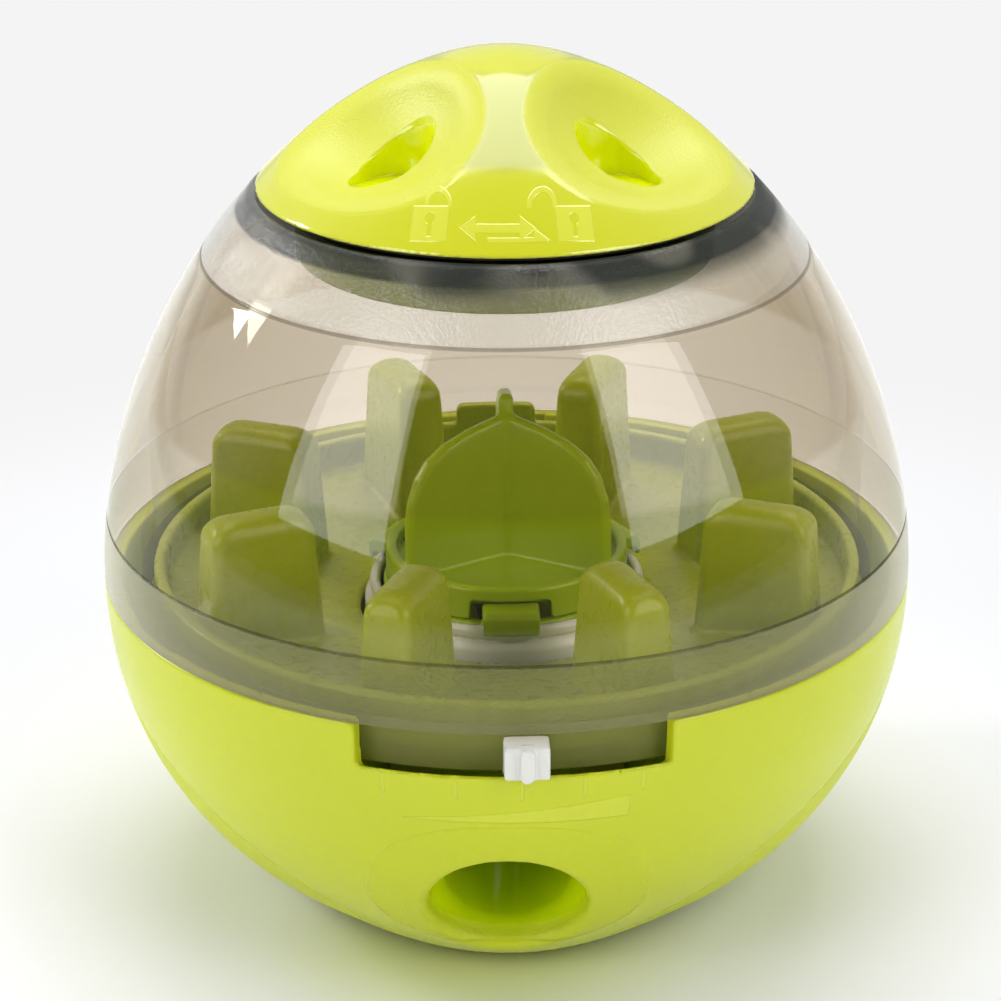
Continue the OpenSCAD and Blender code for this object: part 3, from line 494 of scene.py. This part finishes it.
# painted glow: an emission on the inside of the bowl, away from the outlet, stands in for light that comes through
# the thin shell
painted_inner_glow = bowl_level.below(0.93, 0.03) * (1 - within) * (1 - pz.below(30, 6))
satin_lime = base_skin.blend(tone, srgb(198, 208, 26), srgb(204, 214, 32))
marked_lime = base_skin.blend(marks * 0.18, satin_lime, srgb(232, 236, 96))
satin = base_skin.add("ShaderNodeBsdfPrincipled", values={
    "Base Color": base_skin.blend(within, marked_lime, srgb(212, 232, 8)),
    "Roughness": 0.24 + grained * 0.2 - within * 0.12 + base_skin.grain(base_where, 3.0) * 0.04,
    "Emission Color": base_skin.blend(painted_inner_glow, (0, 0, 0, 1), srgb(84, 90, 22)), "Emission Strength": 1.0,
    "IOR": 1.5, "Normal": bump.outputs[0]})
base_skin.add("ShaderNodeOutputMaterial", values={"Surface": satin.outputs[0]})
moulded("bowl", base_field, (-54, -54, -1), (54, 54, 43.5), 0.62, base_skin, "base", "base_lime", "base_shell")

# Counterweight and screws: a turned steel disc on the floor, and zinc-plated pan head screws
# that hold the weight, the hub and the plug. They are the solids of the build itself.
steel = Finish("turned_steel")
(sx, sy, _), _ = steel.place()
rings = steel.add("ShaderNodeTexNoise", {"noise_dimensions": "1D"},
    {"W": (sx.power(2.0) + sy.power(2.0)).power(0.5), "Scale": 4.0, "Detail": 3.0})
steel_bump = steel.add("ShaderNodeBump", values={"Strength": 0.4, "Distance": 0.0001, "Height": rings.outputs[0]})
steel_shade = steel.add("ShaderNodeBsdfPrincipled", values={
    "Base Color": steel.blend(steel.wire(rings), srgb(140, 142, 146), srgb(180, 182, 186)),
    "Metallic": 1.0, "Roughness": 0.28 + steel.wire(rings) * 0.12, "Normal": steel_bump.outputs[0]})
steel.add("ShaderNodeOutputMaterial", values={"Surface": steel_shade.outputs[0]})
for node in ("counterweight", "weight_screws", "funnel_screws", "cap_screws"):
    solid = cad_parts[node].data
    solid.materials.clear()
    solid.materials.append(steel.owner)

# Hub: the tunnel's upper end, moulded in lime. Its cup gathers the treats over the chute, a flange
# takes three screws, three bars hold the hood's pin, and three hooks keep the adjuster ring on.
hub_bore_r, hub_top_z, flange_t = 14.8, 39.6, 1.8
tab_az, spider_z, spider_h, pin_r = 2.5, 33.55, 4.0, 2.1
hook_side = outline_field(softened([(15.1, spider_z - 0.3), (hub_r, spider_z - 0.3), (hub_r, 40.1),
    (18.5, 40.1), (18.5, 39.1), (19.2, 39.1), (19.2, 41.4), (18.5, 42.1), (15.1, 42.1)],
    {4: 0.2, 5: 0.2, 6: 0.4, 7: 0.4, 8: 0.3}))
# the hub's and hood's lime is painted darker than the base's, as painted shade for their place deep inside the ball
shaded_lime_inner = Finish("shaded_lime_inner")
_, inner_where = shaded_lime_inner.place()
inner_bump = shaded_lime_inner.add("ShaderNodeBump", values={"Strength": 1.0, "Distance": 0.001,
    "Height": shaded_lime_inner.grain(inner_where, 7.0) * 0.05 + shaded_lime_inner.grain(inner_where, 0.5, 3.0) * 0.012})
inner_shade = shaded_lime_inner.add("ShaderNodeBsdfPrincipled", values={
    "Base Color": shaded_lime_inner.blend(shaded_lime_inner.grain(inner_where, 20.0), srgb(160, 184, 3), srgb(167, 191, 6)),
    "Roughness": 0.22 + shaded_lime_inner.grain(inner_where, 2.5) * 0.06, "IOR": 1.5, "Normal": inner_bump.outputs[0]})
shaded_lime_inner.add("ShaderNodeOutputMaterial", values={"Surface": inner_shade.outputs[0]})


def hub_field(x, y, z):
    r = np.hypot(x, y)
    c, s = math.cos(chute_fall), math.sin(chute_fall)
    ball = np.where(z < hub_ball_z, np.sqrt(r ** 2 + (z - hub_ball_z) ** 2), r)
    body = meet(ball - hub_r, z - hub_top_z, 0.4)
    disc = meet(r - flange_r, np.abs(z - flange_z - flange_t / 2) - flange_t / 2, 0.4)
    body = cut(join(body, disc, 0.6), ball - hub_bore_r, 0.4)
    body = cut(body, np.hypot(x, (z - chute_top_z) * c - y * s) - chute_r, 0.5)
    for az in (60, 180, 300):
        body = cut(body, stub(x, y, z, az, 21.4, 1.45, 27, 33, 0), 0.15)
    slot = np.maximum(np.maximum(sector(x, y, 180 + tab_az, 26.5), 37.7 - z), hub_bore_r - 1 - r)
    body = cut(body, slot, 0.2)
    for az in (inner_turn, inner_turn + 120, inner_turn + 240):
        body = join(body, plate(x, y, z, az, 7.3, hook_side, 0.35), 0.3)
        u, w = radial(x, y, az)
        bar = np.maximum(np.abs(w) - 0.8, np.abs(z - spider_z - spider_h / 2) - spider_h / 2 + 0.3)
        body = join(body, np.maximum(bar, np.maximum(3.05 - u, u - 15.6)), 0.3)
    boss = np.maximum(np.maximum(r - 4.0, pin_r + 0.05 - r), np.abs(z - spider_z - spider_h / 2) - spider_h / 2)
    return join(body, boss, 0.2)


moulded("hub", hub_field, (-25.6, -25.6, 8.6), (25.6, 25.6, 42.8), 0.45,
    shaded_lime_inner, "base", "base_lime", "outlet_funnel")

# Hood: a lime cup with three tall fins that break up the fall of the treats. Its pin snaps into
# the hub's bars, its floor has two ports, and a notch at each hook shows the ring below.
hood_side = outline_field(softened([(-3, 41.3), (14.5, 41.3), (14.5, 39.7), (16, 39.7), (16, 44.2),
    (14.5, 44.2), (14.5, 42.6), (-3, 42.6)], {3: 0.2, 4: 0.45, 5: 0.45}))
fin_shares = ((1, 0), (1, 0.37), (0.975, 0.53), (0.9, 0.68), (0.79, 0.79), (0.62, 0.875), (0.36, 0.945), (0, 1))
fin_foot_z = 41.95
fin_sides = [outline_field([(-2, fin_foot_z)] + [(s * 15.3, fin_foot_z + t * h) for s, t in fin_shares]
    + [(-2, fin_foot_z + h)]) for h in (20.4, 23.0)]


def hood_field(x, y, z):
    r = np.hypot(x, y)
    body = hood_side(r, z)
    for az in (inner_turn, inner_turn + 120, inner_turn + 240):
        u, w = radial(x, y, az)
        notch = meet(np.abs(w) - 5.2, z - 42.4, 0.6)
        body = cut(body, np.maximum(notch, 13.9 - u), 0.3)
    for az in (inner_turn - 125, inner_turn + 125):
        port = meet(sector(x, y, az, 25), np.maximum(5 - r, r - 12.8), 0.8)
        body = cut(body, np.maximum(port, 40 - z), 0.3)
    fins = None
    for az, side in ((inner_turn - 60, 0), (inner_turn + 60, 0), (inner_turn + 180, 1)):
        u, w = radial(x, y, az)
        fin = meet(np.maximum(np.abs(w) - 0.95, -u - 0.4), fin_sides[side](u, z), 0.8)
        fins = fin if fins is None else join(fins, fin, 0.6)
    body = join(body, fins, 0.5)
    return join(body, meet(r - pin_r, np.maximum(spider_z - z, z - 42), 0.5), 0.3)


moulded("hood", hood_field, (-16.6, -16.6, 33), (16.6, 16.6, 65.8), 0.36,
    shaded_lime_inner, "base", "inner_lime", "feed_hood")

# Adjuster: one white moulding. A grooved ring turns round the hub under the hooks, an arm runs
# under the maze to the tab in the window, and a gate inside the ring opens or shuts the ports.
tab_w, tab_in, tab_out, tab_low, tab_top = 5.4, 53.3, 54.5, 37.2, 41.3
ring_side = outline_field(softened([(16.9, 32.6), (18.9, 32.6), (18.9, 36.9), (18.35, 37.7), (17.8, 38.0),
    (18.2, 38.4), (18.2, 39.3), (17.8, 39.7), (17.2, 39.7), (16.9, 39.4)], {1: 0.3, 2: 0.5, 6: 0.2, 7: 0.2}))
sill_low = sill_z - (ball_r - tab_in) * math.tan(sill_fall)
arm_bend = (ball_r - (sill_z - 35.4) / math.tan(sill_fall), 35.7)
arm_side = outline_field(softened([(17.2, 32.6), (43.2, 35.7), arm_bend, (tab_in, sill_low + 0.3), (tab_in, tab_low),
    (tab_out, tab_low), (tab_out, tab_top), (50.6, tab_top), (50.6, 36.7), (43.2, 36.7), (17.2, 33.6)],
    {5: 0.35, 6: 0.5, 7: 0.3}))


def adjuster_field(x, y, z):
    r = np.hypot(x, y)
    u, w = radial(x, y, tab_az)
    body = ring_side(r, z)
    arm = meet(np.maximum(np.abs(w) - tab_w / 2, -u), arm_side(r, z), 0.35)
    body = join(body, arm, 0.4)
    rib = np.hypot(w, np.maximum(np.abs(z - 39.35) - 1.25, 0)) - 0.95
    body = join(body, np.maximum(rib, np.abs(r - tab_out + 0.2) - 0.88), 0.35)
    half = np.maximum(sector(x, y, 180 + tab_az, 107), np.maximum(3.55 - r, r - 14.2))
    spoke = np.maximum(sector(x, y, 180 + tab_az, 7), np.maximum(13.2 - r, r - 17.35))
    gate = meet(np.minimum(half, spoke), np.abs(z - 38.6) - 0.6, 0.25)
    for az in (inner_turn - 140, inner_turn + 110):
        gate = cut(gate, np.maximum(sector(x, y, az, 25), np.maximum(5 - r, r - 12.8)), 0.2)
    gate = np.minimum(gate, np.maximum(np.maximum(r - 4.7, 2.4 - r), np.abs(z - 38.68) - 0.82))
    return join(body, gate, 0.2)


white = Finish("adjuster_white")
_, white_where = white.place()
white_bump = white.add("ShaderNodeBump", values={"Strength": 1.0, "Distance": 0.001,
    "Height": white.grain(white_where, 6.0) * 0.04})
white_shade = white.add("ShaderNodeBsdfPrincipled", values={
    "Base Color": white.blend(white.grain(white_where, 12.0), srgb(226, 226, 222), srgb(232, 232, 228)),
    "Roughness": 0.22 + white.grain(white_where, 2.0) * 0.06, "IOR": 1.5, "Normal": white_bump.outputs[0]})
white.add("ShaderNodeOutputMaterial", values={"Surface": white_shade.outputs[0]})
moulded("adjuster", adjuster_field, (-19.6, -56, 32), (19.6, 19.6, 42.6), 0.36,
    white, "adjuster", "adjuster_white", "adjuster_ring")

# Maze dish: the lime sloping floor of the chamber with an upright rim, a lift tab at the rear and
# eight thick posts with round tops. It rests on the base's ribs and is keyed by a notch.
dish_side = outline_field(softened([(19.5, 33.9), (41.4, 37.1), (46.6, 37.1), (46.6, 43.4), (44.9, 43.4),
    (44.9, 39.1), (19.5, 35.7)], {0: 0.6, 3: 0.7, 4: 0.7, 5: 0.8, 6: 0.6}))
dish_rise, post_r = 3.4 / 25.4, 34.8


def half_round(u, z, foot, top, height, corner):
    """A tapered upright outline with round top corners, standing on z = 0."""
    lean = math.atan((foot - top) / height)
    side = (np.abs(u) - foot) * math.cos(lean) + z * math.sin(lean)
    return meet(side, z - height, corner)


def dish_field(x, y, z):
    r = np.hypot(x, y)
    body = dish_side(r, z)
    u, w = radial(x, y, 180 + inner_turn)
    body = cut(body, np.maximum(np.maximum(np.abs(w) - 1.8, 45.75 - u), z - 39.4), 0.15)
    tab = meet(np.abs(w) - 5.75, np.maximum(38 - z, z - 46.2), 1.0)
    body = join(body, meet(np.maximum(tab, -u), np.maximum(r - 46.6, 44.9 - r), 0.5), 0.2)
    for i in range(8):
        az = (i + 0.5) * 45
        u, w = radial(x, y, az + inner_turn)
        foot = 34.8 + dish_rise * (post_r - 19.5)
        height = 55.6 - 1.9 * math.cos(math.radians(az)) - foot
        front = half_round(u - post_r, z - foot, 7.8, 6.8, height, 3.6)
        post = meet(front, half_round(w, z - foot, 3.9, 3.0, height, 2.9), 1.4)
        body = join(body, np.maximum(post, foot - z), 0.7)
    return body


lime_maze = Finish("lime_maze")
_, maze_where = lime_maze.place()
maze_bump = lime_maze.add("ShaderNodeBump", values={"Strength": 1.0, "Distance": 0.001,
    "Height": lime_maze.grain(maze_where, 8.0) * 0.05 + lime_maze.grain(maze_where, 0.4, 3.0) * 0.004})
maze_shade = lime_maze.add("ShaderNodeBsdfPrincipled", values={
    "Base Color": lime_maze.blend(lime_maze.grain(maze_where, 18.0), srgb(166, 179, 28), srgb(173, 186, 34)),
    "Roughness": 0.24 + lime_maze.grain(maze_where, 2.0) * 0.08, "IOR": 1.5, "Normal": maze_bump.outputs[0]})
lime_maze.add("ShaderNodeOutputMaterial", values={"Surface": maze_shade.outputs[0]})
moulded("dish", dish_field, (-47.2, -47.2, 33.2), (47.2, 47.2, 57.2), 0.48,
    lime_maze, "maze", "inner_lime", "maze_dish")

# Dome: blown-looking but injection moulded in clear smoke plastic, 2.3 mm thick. Fine lines part
# the clear crown from two frosted bands, and a skirt with lugs locks into the base.
dome_wall, dome_in_r, skirt_r, skirt_wall, skirt_z, step_z = 2.3, 46.3, 50.0, 1.9, 36.1, 47.0
band_z, shoulder_z, lip_z, lip_t, neck_r, line_size = 51.0, 85.1, 93.1, 2.0, 27.0, 0.25


def turned(name, profile, azimuths, *more):
    """A closed profile in r and z, given for each azimuth, turned round the axis."""
    rings = np.array([profile(az) for az in azimuths])
    a = np.radians(np.array(azimuths))[:, None]
    points = np.stack([rings[..., 0] * np.sin(a), -rings[..., 0] * np.cos(a), rings[..., 1]], -1)
    count, steps = rings.shape[0], rings.shape[1]
    i, j = np.meshgrid(np.arange(count), np.arange(steps), indexing="ij")
    i2, j2 = (i + 1) % count, (j + 1) % steps
    faces = np.stack([i * steps + j, i2 * steps + j, i2 * steps + j2, i * steps + j2], -1)
    return finish_mesh(name, points.reshape(-1, 3), faces.reshape(-1, 4), None, *more)


def crown_part(low, high, steps):
    return [(crown_r_at(z), z) for z in np.linspace(low, high, steps)]


band_groove = [(crown_r_at(band_z) - line_size, band_z)]
shoulder_groove = [(crown_r_at(shoulder_z) - line_size, shoulder_z)]
dome_skin = crown_part(42.6, band_z - line_size, 12) + band_groove \
    + crown_part(band_z + line_size, shoulder_z - line_size, 56) + shoulder_groove \
    + crown_part(shoulder_z + line_size, lip_z - 0.3, 18)
dome_hollow = [(min(r, dome_in_r), z) for r, z in inset(crown_part(step_z + 1.8, lip_z - lip_t / 2, 80), dome_wall)]
lug_azs, slot_azs = (60, 180, 300), (0, 120, 240)


def near_turn(az, middles, half):
    return any(abs((az - m + 180) % 360 - 180) <= half for m in middles)


def dome_profile(az):
    lug = 50.9 if near_turn(az, lug_azs, 5) else skirt_r
    hole = 28.6 if near_turn(az, slot_azs, 9.5) else neck_r
    skirt = [(skirt_r, skirt_z + 0.3), (skirt_r, 38.0), (lug, 38.0), (lug, 39.6), (skirt_r, 39.6), (skirt_r, 42.35)]
    lip = [(crown_r_at(lip_z) - 0.3, lip_z), (hole, lip_z), (hole, lip_z - lip_t)]
    step = [(dome_in_r, step_z + 1.8), (skirt_r - skirt_wall, step_z), (skirt_r - skirt_wall, skirt_z + 0.3),
        (skirt_r - skirt_wall + 0.3, skirt_z), (skirt_r - 0.3, skirt_z)]
    return skirt + [(skirt_r + 0.3, 42.6)] + dome_skin + lip + dome_hollow[::-1] + step[1:]


# close pairs of azimuths at both ends of each lug and each slot
dome_azs = sorted({round(a % 360, 3) for a in list(np.arange(0, 360, 1.0))
    + [m + side * (half + gap) for middles, half in ((lug_azs, 5), (slot_azs, 9.5)) for m in middles
       for side in (-1, 1) for gap in (-0.05, 0.1)]})

smoke = Finish("dome_smoke")
(dx, dy, dz), dome_where = smoke.place()
across = (dx.power(2.0) + dy.power(2.0)).power(0.5)
crown_depth = (across / ball_r).power(crown_across) + ((dz - belt_z).larger(0.0) / crown_h).power(crown_up)
outside = (1 - crown_depth).below(0.02, 0.01)
lower_band = dz.below(band_z, 0.12) * (1 - dz.below(42.45, 0.2)) * outside
upper_band = (1 - dz.below(shoulder_z, 0.12)) * outside
line = (abs(dz - band_z).smaller(abs(dz - shoulder_z))).below(0.2, 0.14) * outside
near_lip = 1 - dz.below(91.0, 0.5)
facing = smoke.wire(smoke.add("ShaderNodeLayerWeight", values={"Blend": 0.5}), "Facing")
seen_front = 1 - smoke.wire(smoke.add("ShaderNodeNewGeometry"), "Backfacing")
# the skirt's frost is painted olive, a painted glow of the lime parts inside it
skirt_painted_lime_haze = dz.below(42.45, 0.2) * seen_front
cloud = smoke.grain(dome_where, 16.0, 1.0) + dx * 0.008
neck_shade = (1 - dz.below(89.2, 3.4)) * upper_band * seen_front * (1 - cloud.below(0.5, 0.22))
bands = lower_band.larger(upper_band)
inner_low = (1 - outside) * dz.below(66.5, 1.5).larger(1 - dz.below(shoulder_z - 0.5, 0.5))
gloss_share = (facing.power(5.0) * 0.96 + 0.04) * (1 - inner_low * 0.85) * (1 + bands * 1.2) * (1 - near_lip * 0.5)
smoke_bump = smoke.add("ShaderNodeBump", values={"Strength": 1.0, "Distance": 0.001,
    "Height": smoke.grain(dome_where, 14.0) * 0.03 + bands * smoke.grain(dome_where, 0.45, 3.0) * 0.16})
depth = (1 - (1 - facing).power(2.0)).power(1.3)
wall_clear = smoke.blend(inner_low, (0.925, 0.885, 0.825, 1), (0.98, 0.975, 0.96, 1))
wall_deep = smoke.blend(inner_low, (0.8, 0.745, 0.66, 1), (0.96, 0.955, 0.94, 1))
clear = smoke.add("ShaderNodeBsdfTransparent", values={
    "Color": smoke.blend(near_lip, wall_clear, (0.2, 0.215, 0.235, 1))})
deep = smoke.add("ShaderNodeBsdfTransparent", values={
    "Color": smoke.blend(near_lip, wall_deep, (0.16, 0.175, 0.195, 1))})
tinted = smoke.add("ShaderNodeMixShader", values={0: depth, 1: clear.outputs[0], 2: deep.outputs[0]})
shine = smoke.add("ShaderNodeBsdfGlossy", values={"Color": (1, 1, 1, 1), "Roughness": 0.03 + bands * 0.2,
    "Normal": smoke_bump.outputs[0]})
polished = smoke.add("ShaderNodeMixShader", values={0: gloss_share, 1: tinted.outputs[0], 2: shine.outputs[0]})
# painted light: the frost's colour is olive where it faces the camera and grey towards its outline, painted in for
# the lime parts that light it from behind; near the neck it is painted nearly black, as painted shade
aslant = facing.power(1.5)
low_haze_painted_lime = smoke.blend(aslant, (0.17, 0.175, 0.04, 1), (0.62, 0.60, 0.50, 1))
haze = smoke.blend(upper_band, low_haze_painted_lime, (0.42, 0.39, 0.33, 1))
haze = smoke.blend(skirt_painted_lime_haze, haze, (0.27, 0.28, 0.085, 1))
haze = smoke.blend(neck_shade, haze, (0.03, 0.034, 0.03, 1))
frosted = smoke.add("ShaderNodeBsdfDiffuse", values={
    "Color": smoke.blend(line, haze, (0.05, 0.045, 0.04, 1)), "Normal": smoke_bump.outputs[0]})
frost_share = lower_band * seen_front * (0.5 + facing * 0.3)
frost_share = frost_share.larger(upper_band * (0.04 + aslant * 0.3) * (1 - near_lip))
frost_share = frost_share.larger(line * (0.12 + seen_front * 0.33))
frost_share = frost_share.larger(skirt_painted_lime_haze * 0.62).larger(neck_shade * 0.75)
both = smoke.add("ShaderNodeMixShader", values={0: frost_share, 1: polished.outputs[0], 2: frosted.outputs[0]})
smoke.add("ShaderNodeOutputMaterial", values={"Surface": both.outputs[0]})
turned("dome_shell", dome_profile, dome_azs, smoke, "chamber", "dome_smoke", "dome")

# Seal: a flat dark rubber ring between the dome's lip and the cap.
rubber = Finish("seal_rubber")
_, rubber_where = rubber.place()
rubber_bump = rubber.add("ShaderNodeBump", values={"Strength": 1.0, "Distance": 0.001,
    "Height": rubber.grain(rubber_where, 0.6, 3.0) * 0.03})
rubber_shade = rubber.add("ShaderNodeBsdfPrincipled", values={
    "Base Color": rubber.blend(rubber.grain(rubber_where, 3.0), srgb(34, 34, 36), srgb(44, 44, 46)),
    "Roughness": 0.6, "Normal": rubber_bump.outputs[0]})
rubber.add("ShaderNodeOutputMaterial", values={"Surface": rubber_shade.outputs[0]})
seal_profile = softened([(28.9, 93.2), (30.6, 93.2), (30.6, 93.6), (28.9, 93.6)], {1: 0.15, 2: 0.15})
turned("seal_ring", lambda az: seal_profile, np.arange(0, 360, 2), rubber, "seal", "seal_rubber", "cap_seal")

# Plug: the lime skirt inside the neck, with a plate screwed up into the cap and three lugs that
# lock under the dome's lip. Its lime is painted dark, as painted shade under the cap.
shaded_lime_plug = Finish("shaded_lime_plug")
_, plug_where = shaded_lime_plug.place()
plug_bump = shaded_lime_plug.add("ShaderNodeBump", values={"Strength": 1.0, "Distance": 0.001,
    "Height": shaded_lime_plug.grain(plug_where, 6.0) * 0.05})
# painted shade: a much darker lime than the cap's
plug_shade = shaded_lime_plug.add("ShaderNodeBsdfPrincipled", values={
    "Base Color": shaded_lime_plug.blend(shaded_lime_plug.grain(plug_where, 16.0), srgb(128, 136, 4), srgb(137, 145, 8)),
    "Roughness": 0.3 + shaded_lime_plug.grain(plug_where, 2.0) * 0.06, "IOR": 1.5, "Normal": plug_bump.outputs[0]})
shaded_lime_plug.add("ShaderNodeOutputMaterial", values={"Surface": plug_shade.outputs[0]})
plug_side = outline_field(softened([(-3, 93.2), (24.8, 93.2), (24.8, 85.1), (26.6, 85.1), (26.6, 95.0), (-3, 95.0)],
    {1: 0.8, 2: 0.4, 3: 0.4, 4: 0.3}))


def plug_field(x, y, z):
    r = np.hypot(x, y)
    body = plug_side(r, z)
    for az in (0, 120, 240):
        lug = meet(sector(x, y, az, 8), np.maximum(np.maximum(25.7 - r, r - 28.3), np.abs(z - 89.7) - 1.1), 0.3)
        body = join(body, lug, 0.25)
        body = cut(body, stub(x, y, z, az, 19, 1.45, 92, 96, 0), 0.15)
    return body


moulded("plug", plug_field, (-28.8, -28.8, 81.2), (28.8, 28.8, 95.5), 0.42,
    shaded_lime_plug, "cap", "inner_lime", "cap_plug")

# Cap: a lime shell that carries on the dome's curve, moulded with three grained finger scoops, each
# with a keyhole-shaped pocket. The ridge at the front has raised padlock and arrow signs.
cap_z, cap_wall = 93.7, 2.2
scoop_r, scoop_depth, scoop_lean, scoop_along, scoop_across = 19.3, 6.6, math.radians(28.7), 15.5, 32.8
pocket_floor = 95.6


def crown_field(r, z):
    """Distance outside the crown's curve, near to it."""
    across, up = np.maximum(r, 0.05) / ball_r, np.maximum(z - belt_z, 0.05) / crown_h
    slope = np.hypot(crown_across * across ** (crown_across - 1) / ball_r, crown_up * up ** (crown_up - 1) / crown_h)
    return (across ** crown_across + up ** crown_up - 1) / slope


def scoop_field(u, w, z):
    u, z = u - scoop_r, z - crown_z_at(scoop_r)
    lean = u * math.cos(scoop_lean) - z * math.sin(scoop_lean)
    rise = u * math.sin(scoop_lean) + z * math.cos(scoop_lean)
    ring = np.hypot(w, rise - scoop_across + scoop_depth) - scoop_across + scoop_along
    return np.hypot(ring, lean) - scoop_along


def pocket_field(u, w):
    wide = np.hypot(np.maximum(np.abs(u - 15.5) - 0.5, 0), w) - 4.2
    narrow = np.hypot(np.maximum(np.abs(u - 18.3) - 0.7, 0), w) - 2.6
    return join(wide, narrow, 0.4)


def cap_field(x, y, z):
    r = np.hypot(x, y)
    crown = crown_field(r, z)
    body, hollow = meet(crown, cap_z - z, 0.5), crown + cap_wall
    for az in (60, 180, 300):
        u, w = radial(x, y, az)
        scoop, pocket = scoop_field(u, w, z), np.maximum(pocket_field(u, w), -u)
        body = cut(cut(body, scoop, 2.2), np.maximum(pocket, pocket_floor - z), 0.4)
        hollow = np.maximum(hollow, np.maximum(cap_wall - scoop, np.minimum(1.2 - pocket, z - pocket_floor + 1.2)))
    shell = cut(cut(body, hollow, 0.5), np.maximum(r - 26.9, z - 95.1), 0.1)
    for az in (0, 120, 240):
        post = np.maximum(stub(x, y, z, az, 19, 3, 95.1, 112), crown + 1.1)
        shell = cut(join(shell, post, 0.4), stub(x, y, z, az, 19, 1.2, 94, 99, 0), 0.1)
    return shell


lime_cap = Finish("lime_cap")
(cx, cy, cz), cap_where = lime_cap.place()
cap_across = (cx.power(2.0) + cy.power(2.0)).power(0.5)
cap_level = (cap_across / ball_r).power(crown_across) + ((cz - belt_z) / crown_h).power(crown_up)
scooped = cap_level.below(0.997, 0.005)
on_front = cy.below(0, 0.1)


def oblong(u, v, half_u, half_v):
    return (abs(u) - half_u).larger(abs(v) - half_v)


def padlock(x, lean, shackle, span):
    """A plate with a keyhole, and a bow over it whose middle stands at the x given."""
    u, v = cx - x - (cz - 96.8) * lean, cz - 96.8 - (cx - x) * lean * 0.5
    hole = ((u.power(2.0) + (v - 0.45).power(2.0)).power(0.5) - 0.55).smaller(oblong(u, v + 0.35, 0.26, 0.8))
    body = oblong(u, v, 2.1, 1.6).larger(0 - hole)
    bow = abs(((cx - shackle).power(2.0) + (cz - 98.6).power(2.0)).power(0.5) - span) - 0.26
    return body.smaller(bow.larger(98.45 - cz))


def arrow(left, right, z, half):
    """A thin bar along x with heads at the ends that are given."""
    shaft = oblong(cx - (left + right) / 2, cz - z, (right - left) / 2 - 1.2, half)
    head = (abs(cz - z) - (right - cx) * 0.62).larger(right - 1.9 - cx)
    return shaft.smaller(head), (abs(cz - z) - (cx - left) * 0.62).larger(cx - left - 1.9)


two_way, left_head = arrow(-5.3, 3.6, 96.65, 0.42)
one_way = arrow(-3.3, 5.2, 95.5, 0.3)[0].larger(95.35 - cz)
signs = padlock(-8.85, 0.13, -7.85, 1.35).smaller(padlock(8.15, -0.14, 4.35, 1.5))
signs = signs.smaller(two_way.smaller(left_head)).smaller(one_way)
raised = signs.below(0, 0.16) * on_front * (1 - scooped)
pocket_side = None
for az in (60, 180, 300):
    pu, pw = radial(cx, cy, az)
    for at, half, rad in ((15.5, 0.5, 4.2), (18.3, 0.7, 2.6)):
        side = ((abs(pu - at) - half).larger(0.0).power(2.0) + pw.power(2.0)).power(0.5) - rad
        pocket_side = side if pocket_side is None else pocket_side.smaller(side)
# the pockets are smooth inside, and their lime is painted brighter and fully saturated, a painted glow for the light
# bouncing within them
in_pocket = pocket_side.below(0.2, 0.3)
rough_part = scooped * (1 - in_pocket)
# painted shade: the crest above the scoops is painted a duller, darker lime, standing in for how the ridge reads
# under its bright reflection
crest_painted_dark = (1 - cz.below(101.9, 1.2)) * cz.below(109.5, 0.8) * (1 - scooped)
cap_bump = lime_cap.add("ShaderNodeBump", values={"Strength": 1.0, "Distance": 0.001,
    "Height": rough_part * lime_cap.grain(cap_where, 0.4, 3.0) * 0.08
        + lime_cap.grain(cap_where, 9.0) * 0.04 + raised * 0.04})
cap_tone = raised * 0.55 + lime_cap.grain(cap_where, 22.0) * 0.3
cap_lime = lime_cap.blend(cap_tone, srgb(204, 207, 28), srgb(222, 225, 76))
cap_shade = lime_cap.add("ShaderNodeBsdfPrincipled", values={
    "Base Color": lime_cap.blend(in_pocket, lime_cap.blend(crest_painted_dark, cap_lime, srgb(176, 180, 40)), srgb(226, 233, 3)),
    "Roughness": 0.08 + rough_part * 0.34 + lime_cap.grain(cap_where, 3.0) * 0.03,
    "IOR": 1.75, "Normal": cap_bump.outputs[0]})
lime_cap.add("ShaderNodeOutputMaterial", values={"Surface": cap_shade.outputs[0]})
moulded("cap", cap_field, (-32.6, -32.6, 93.2), (32.6, 32.6, 111.6), 0.4,
    lime_cap, "cap", "cap_lime", "cap_shell")
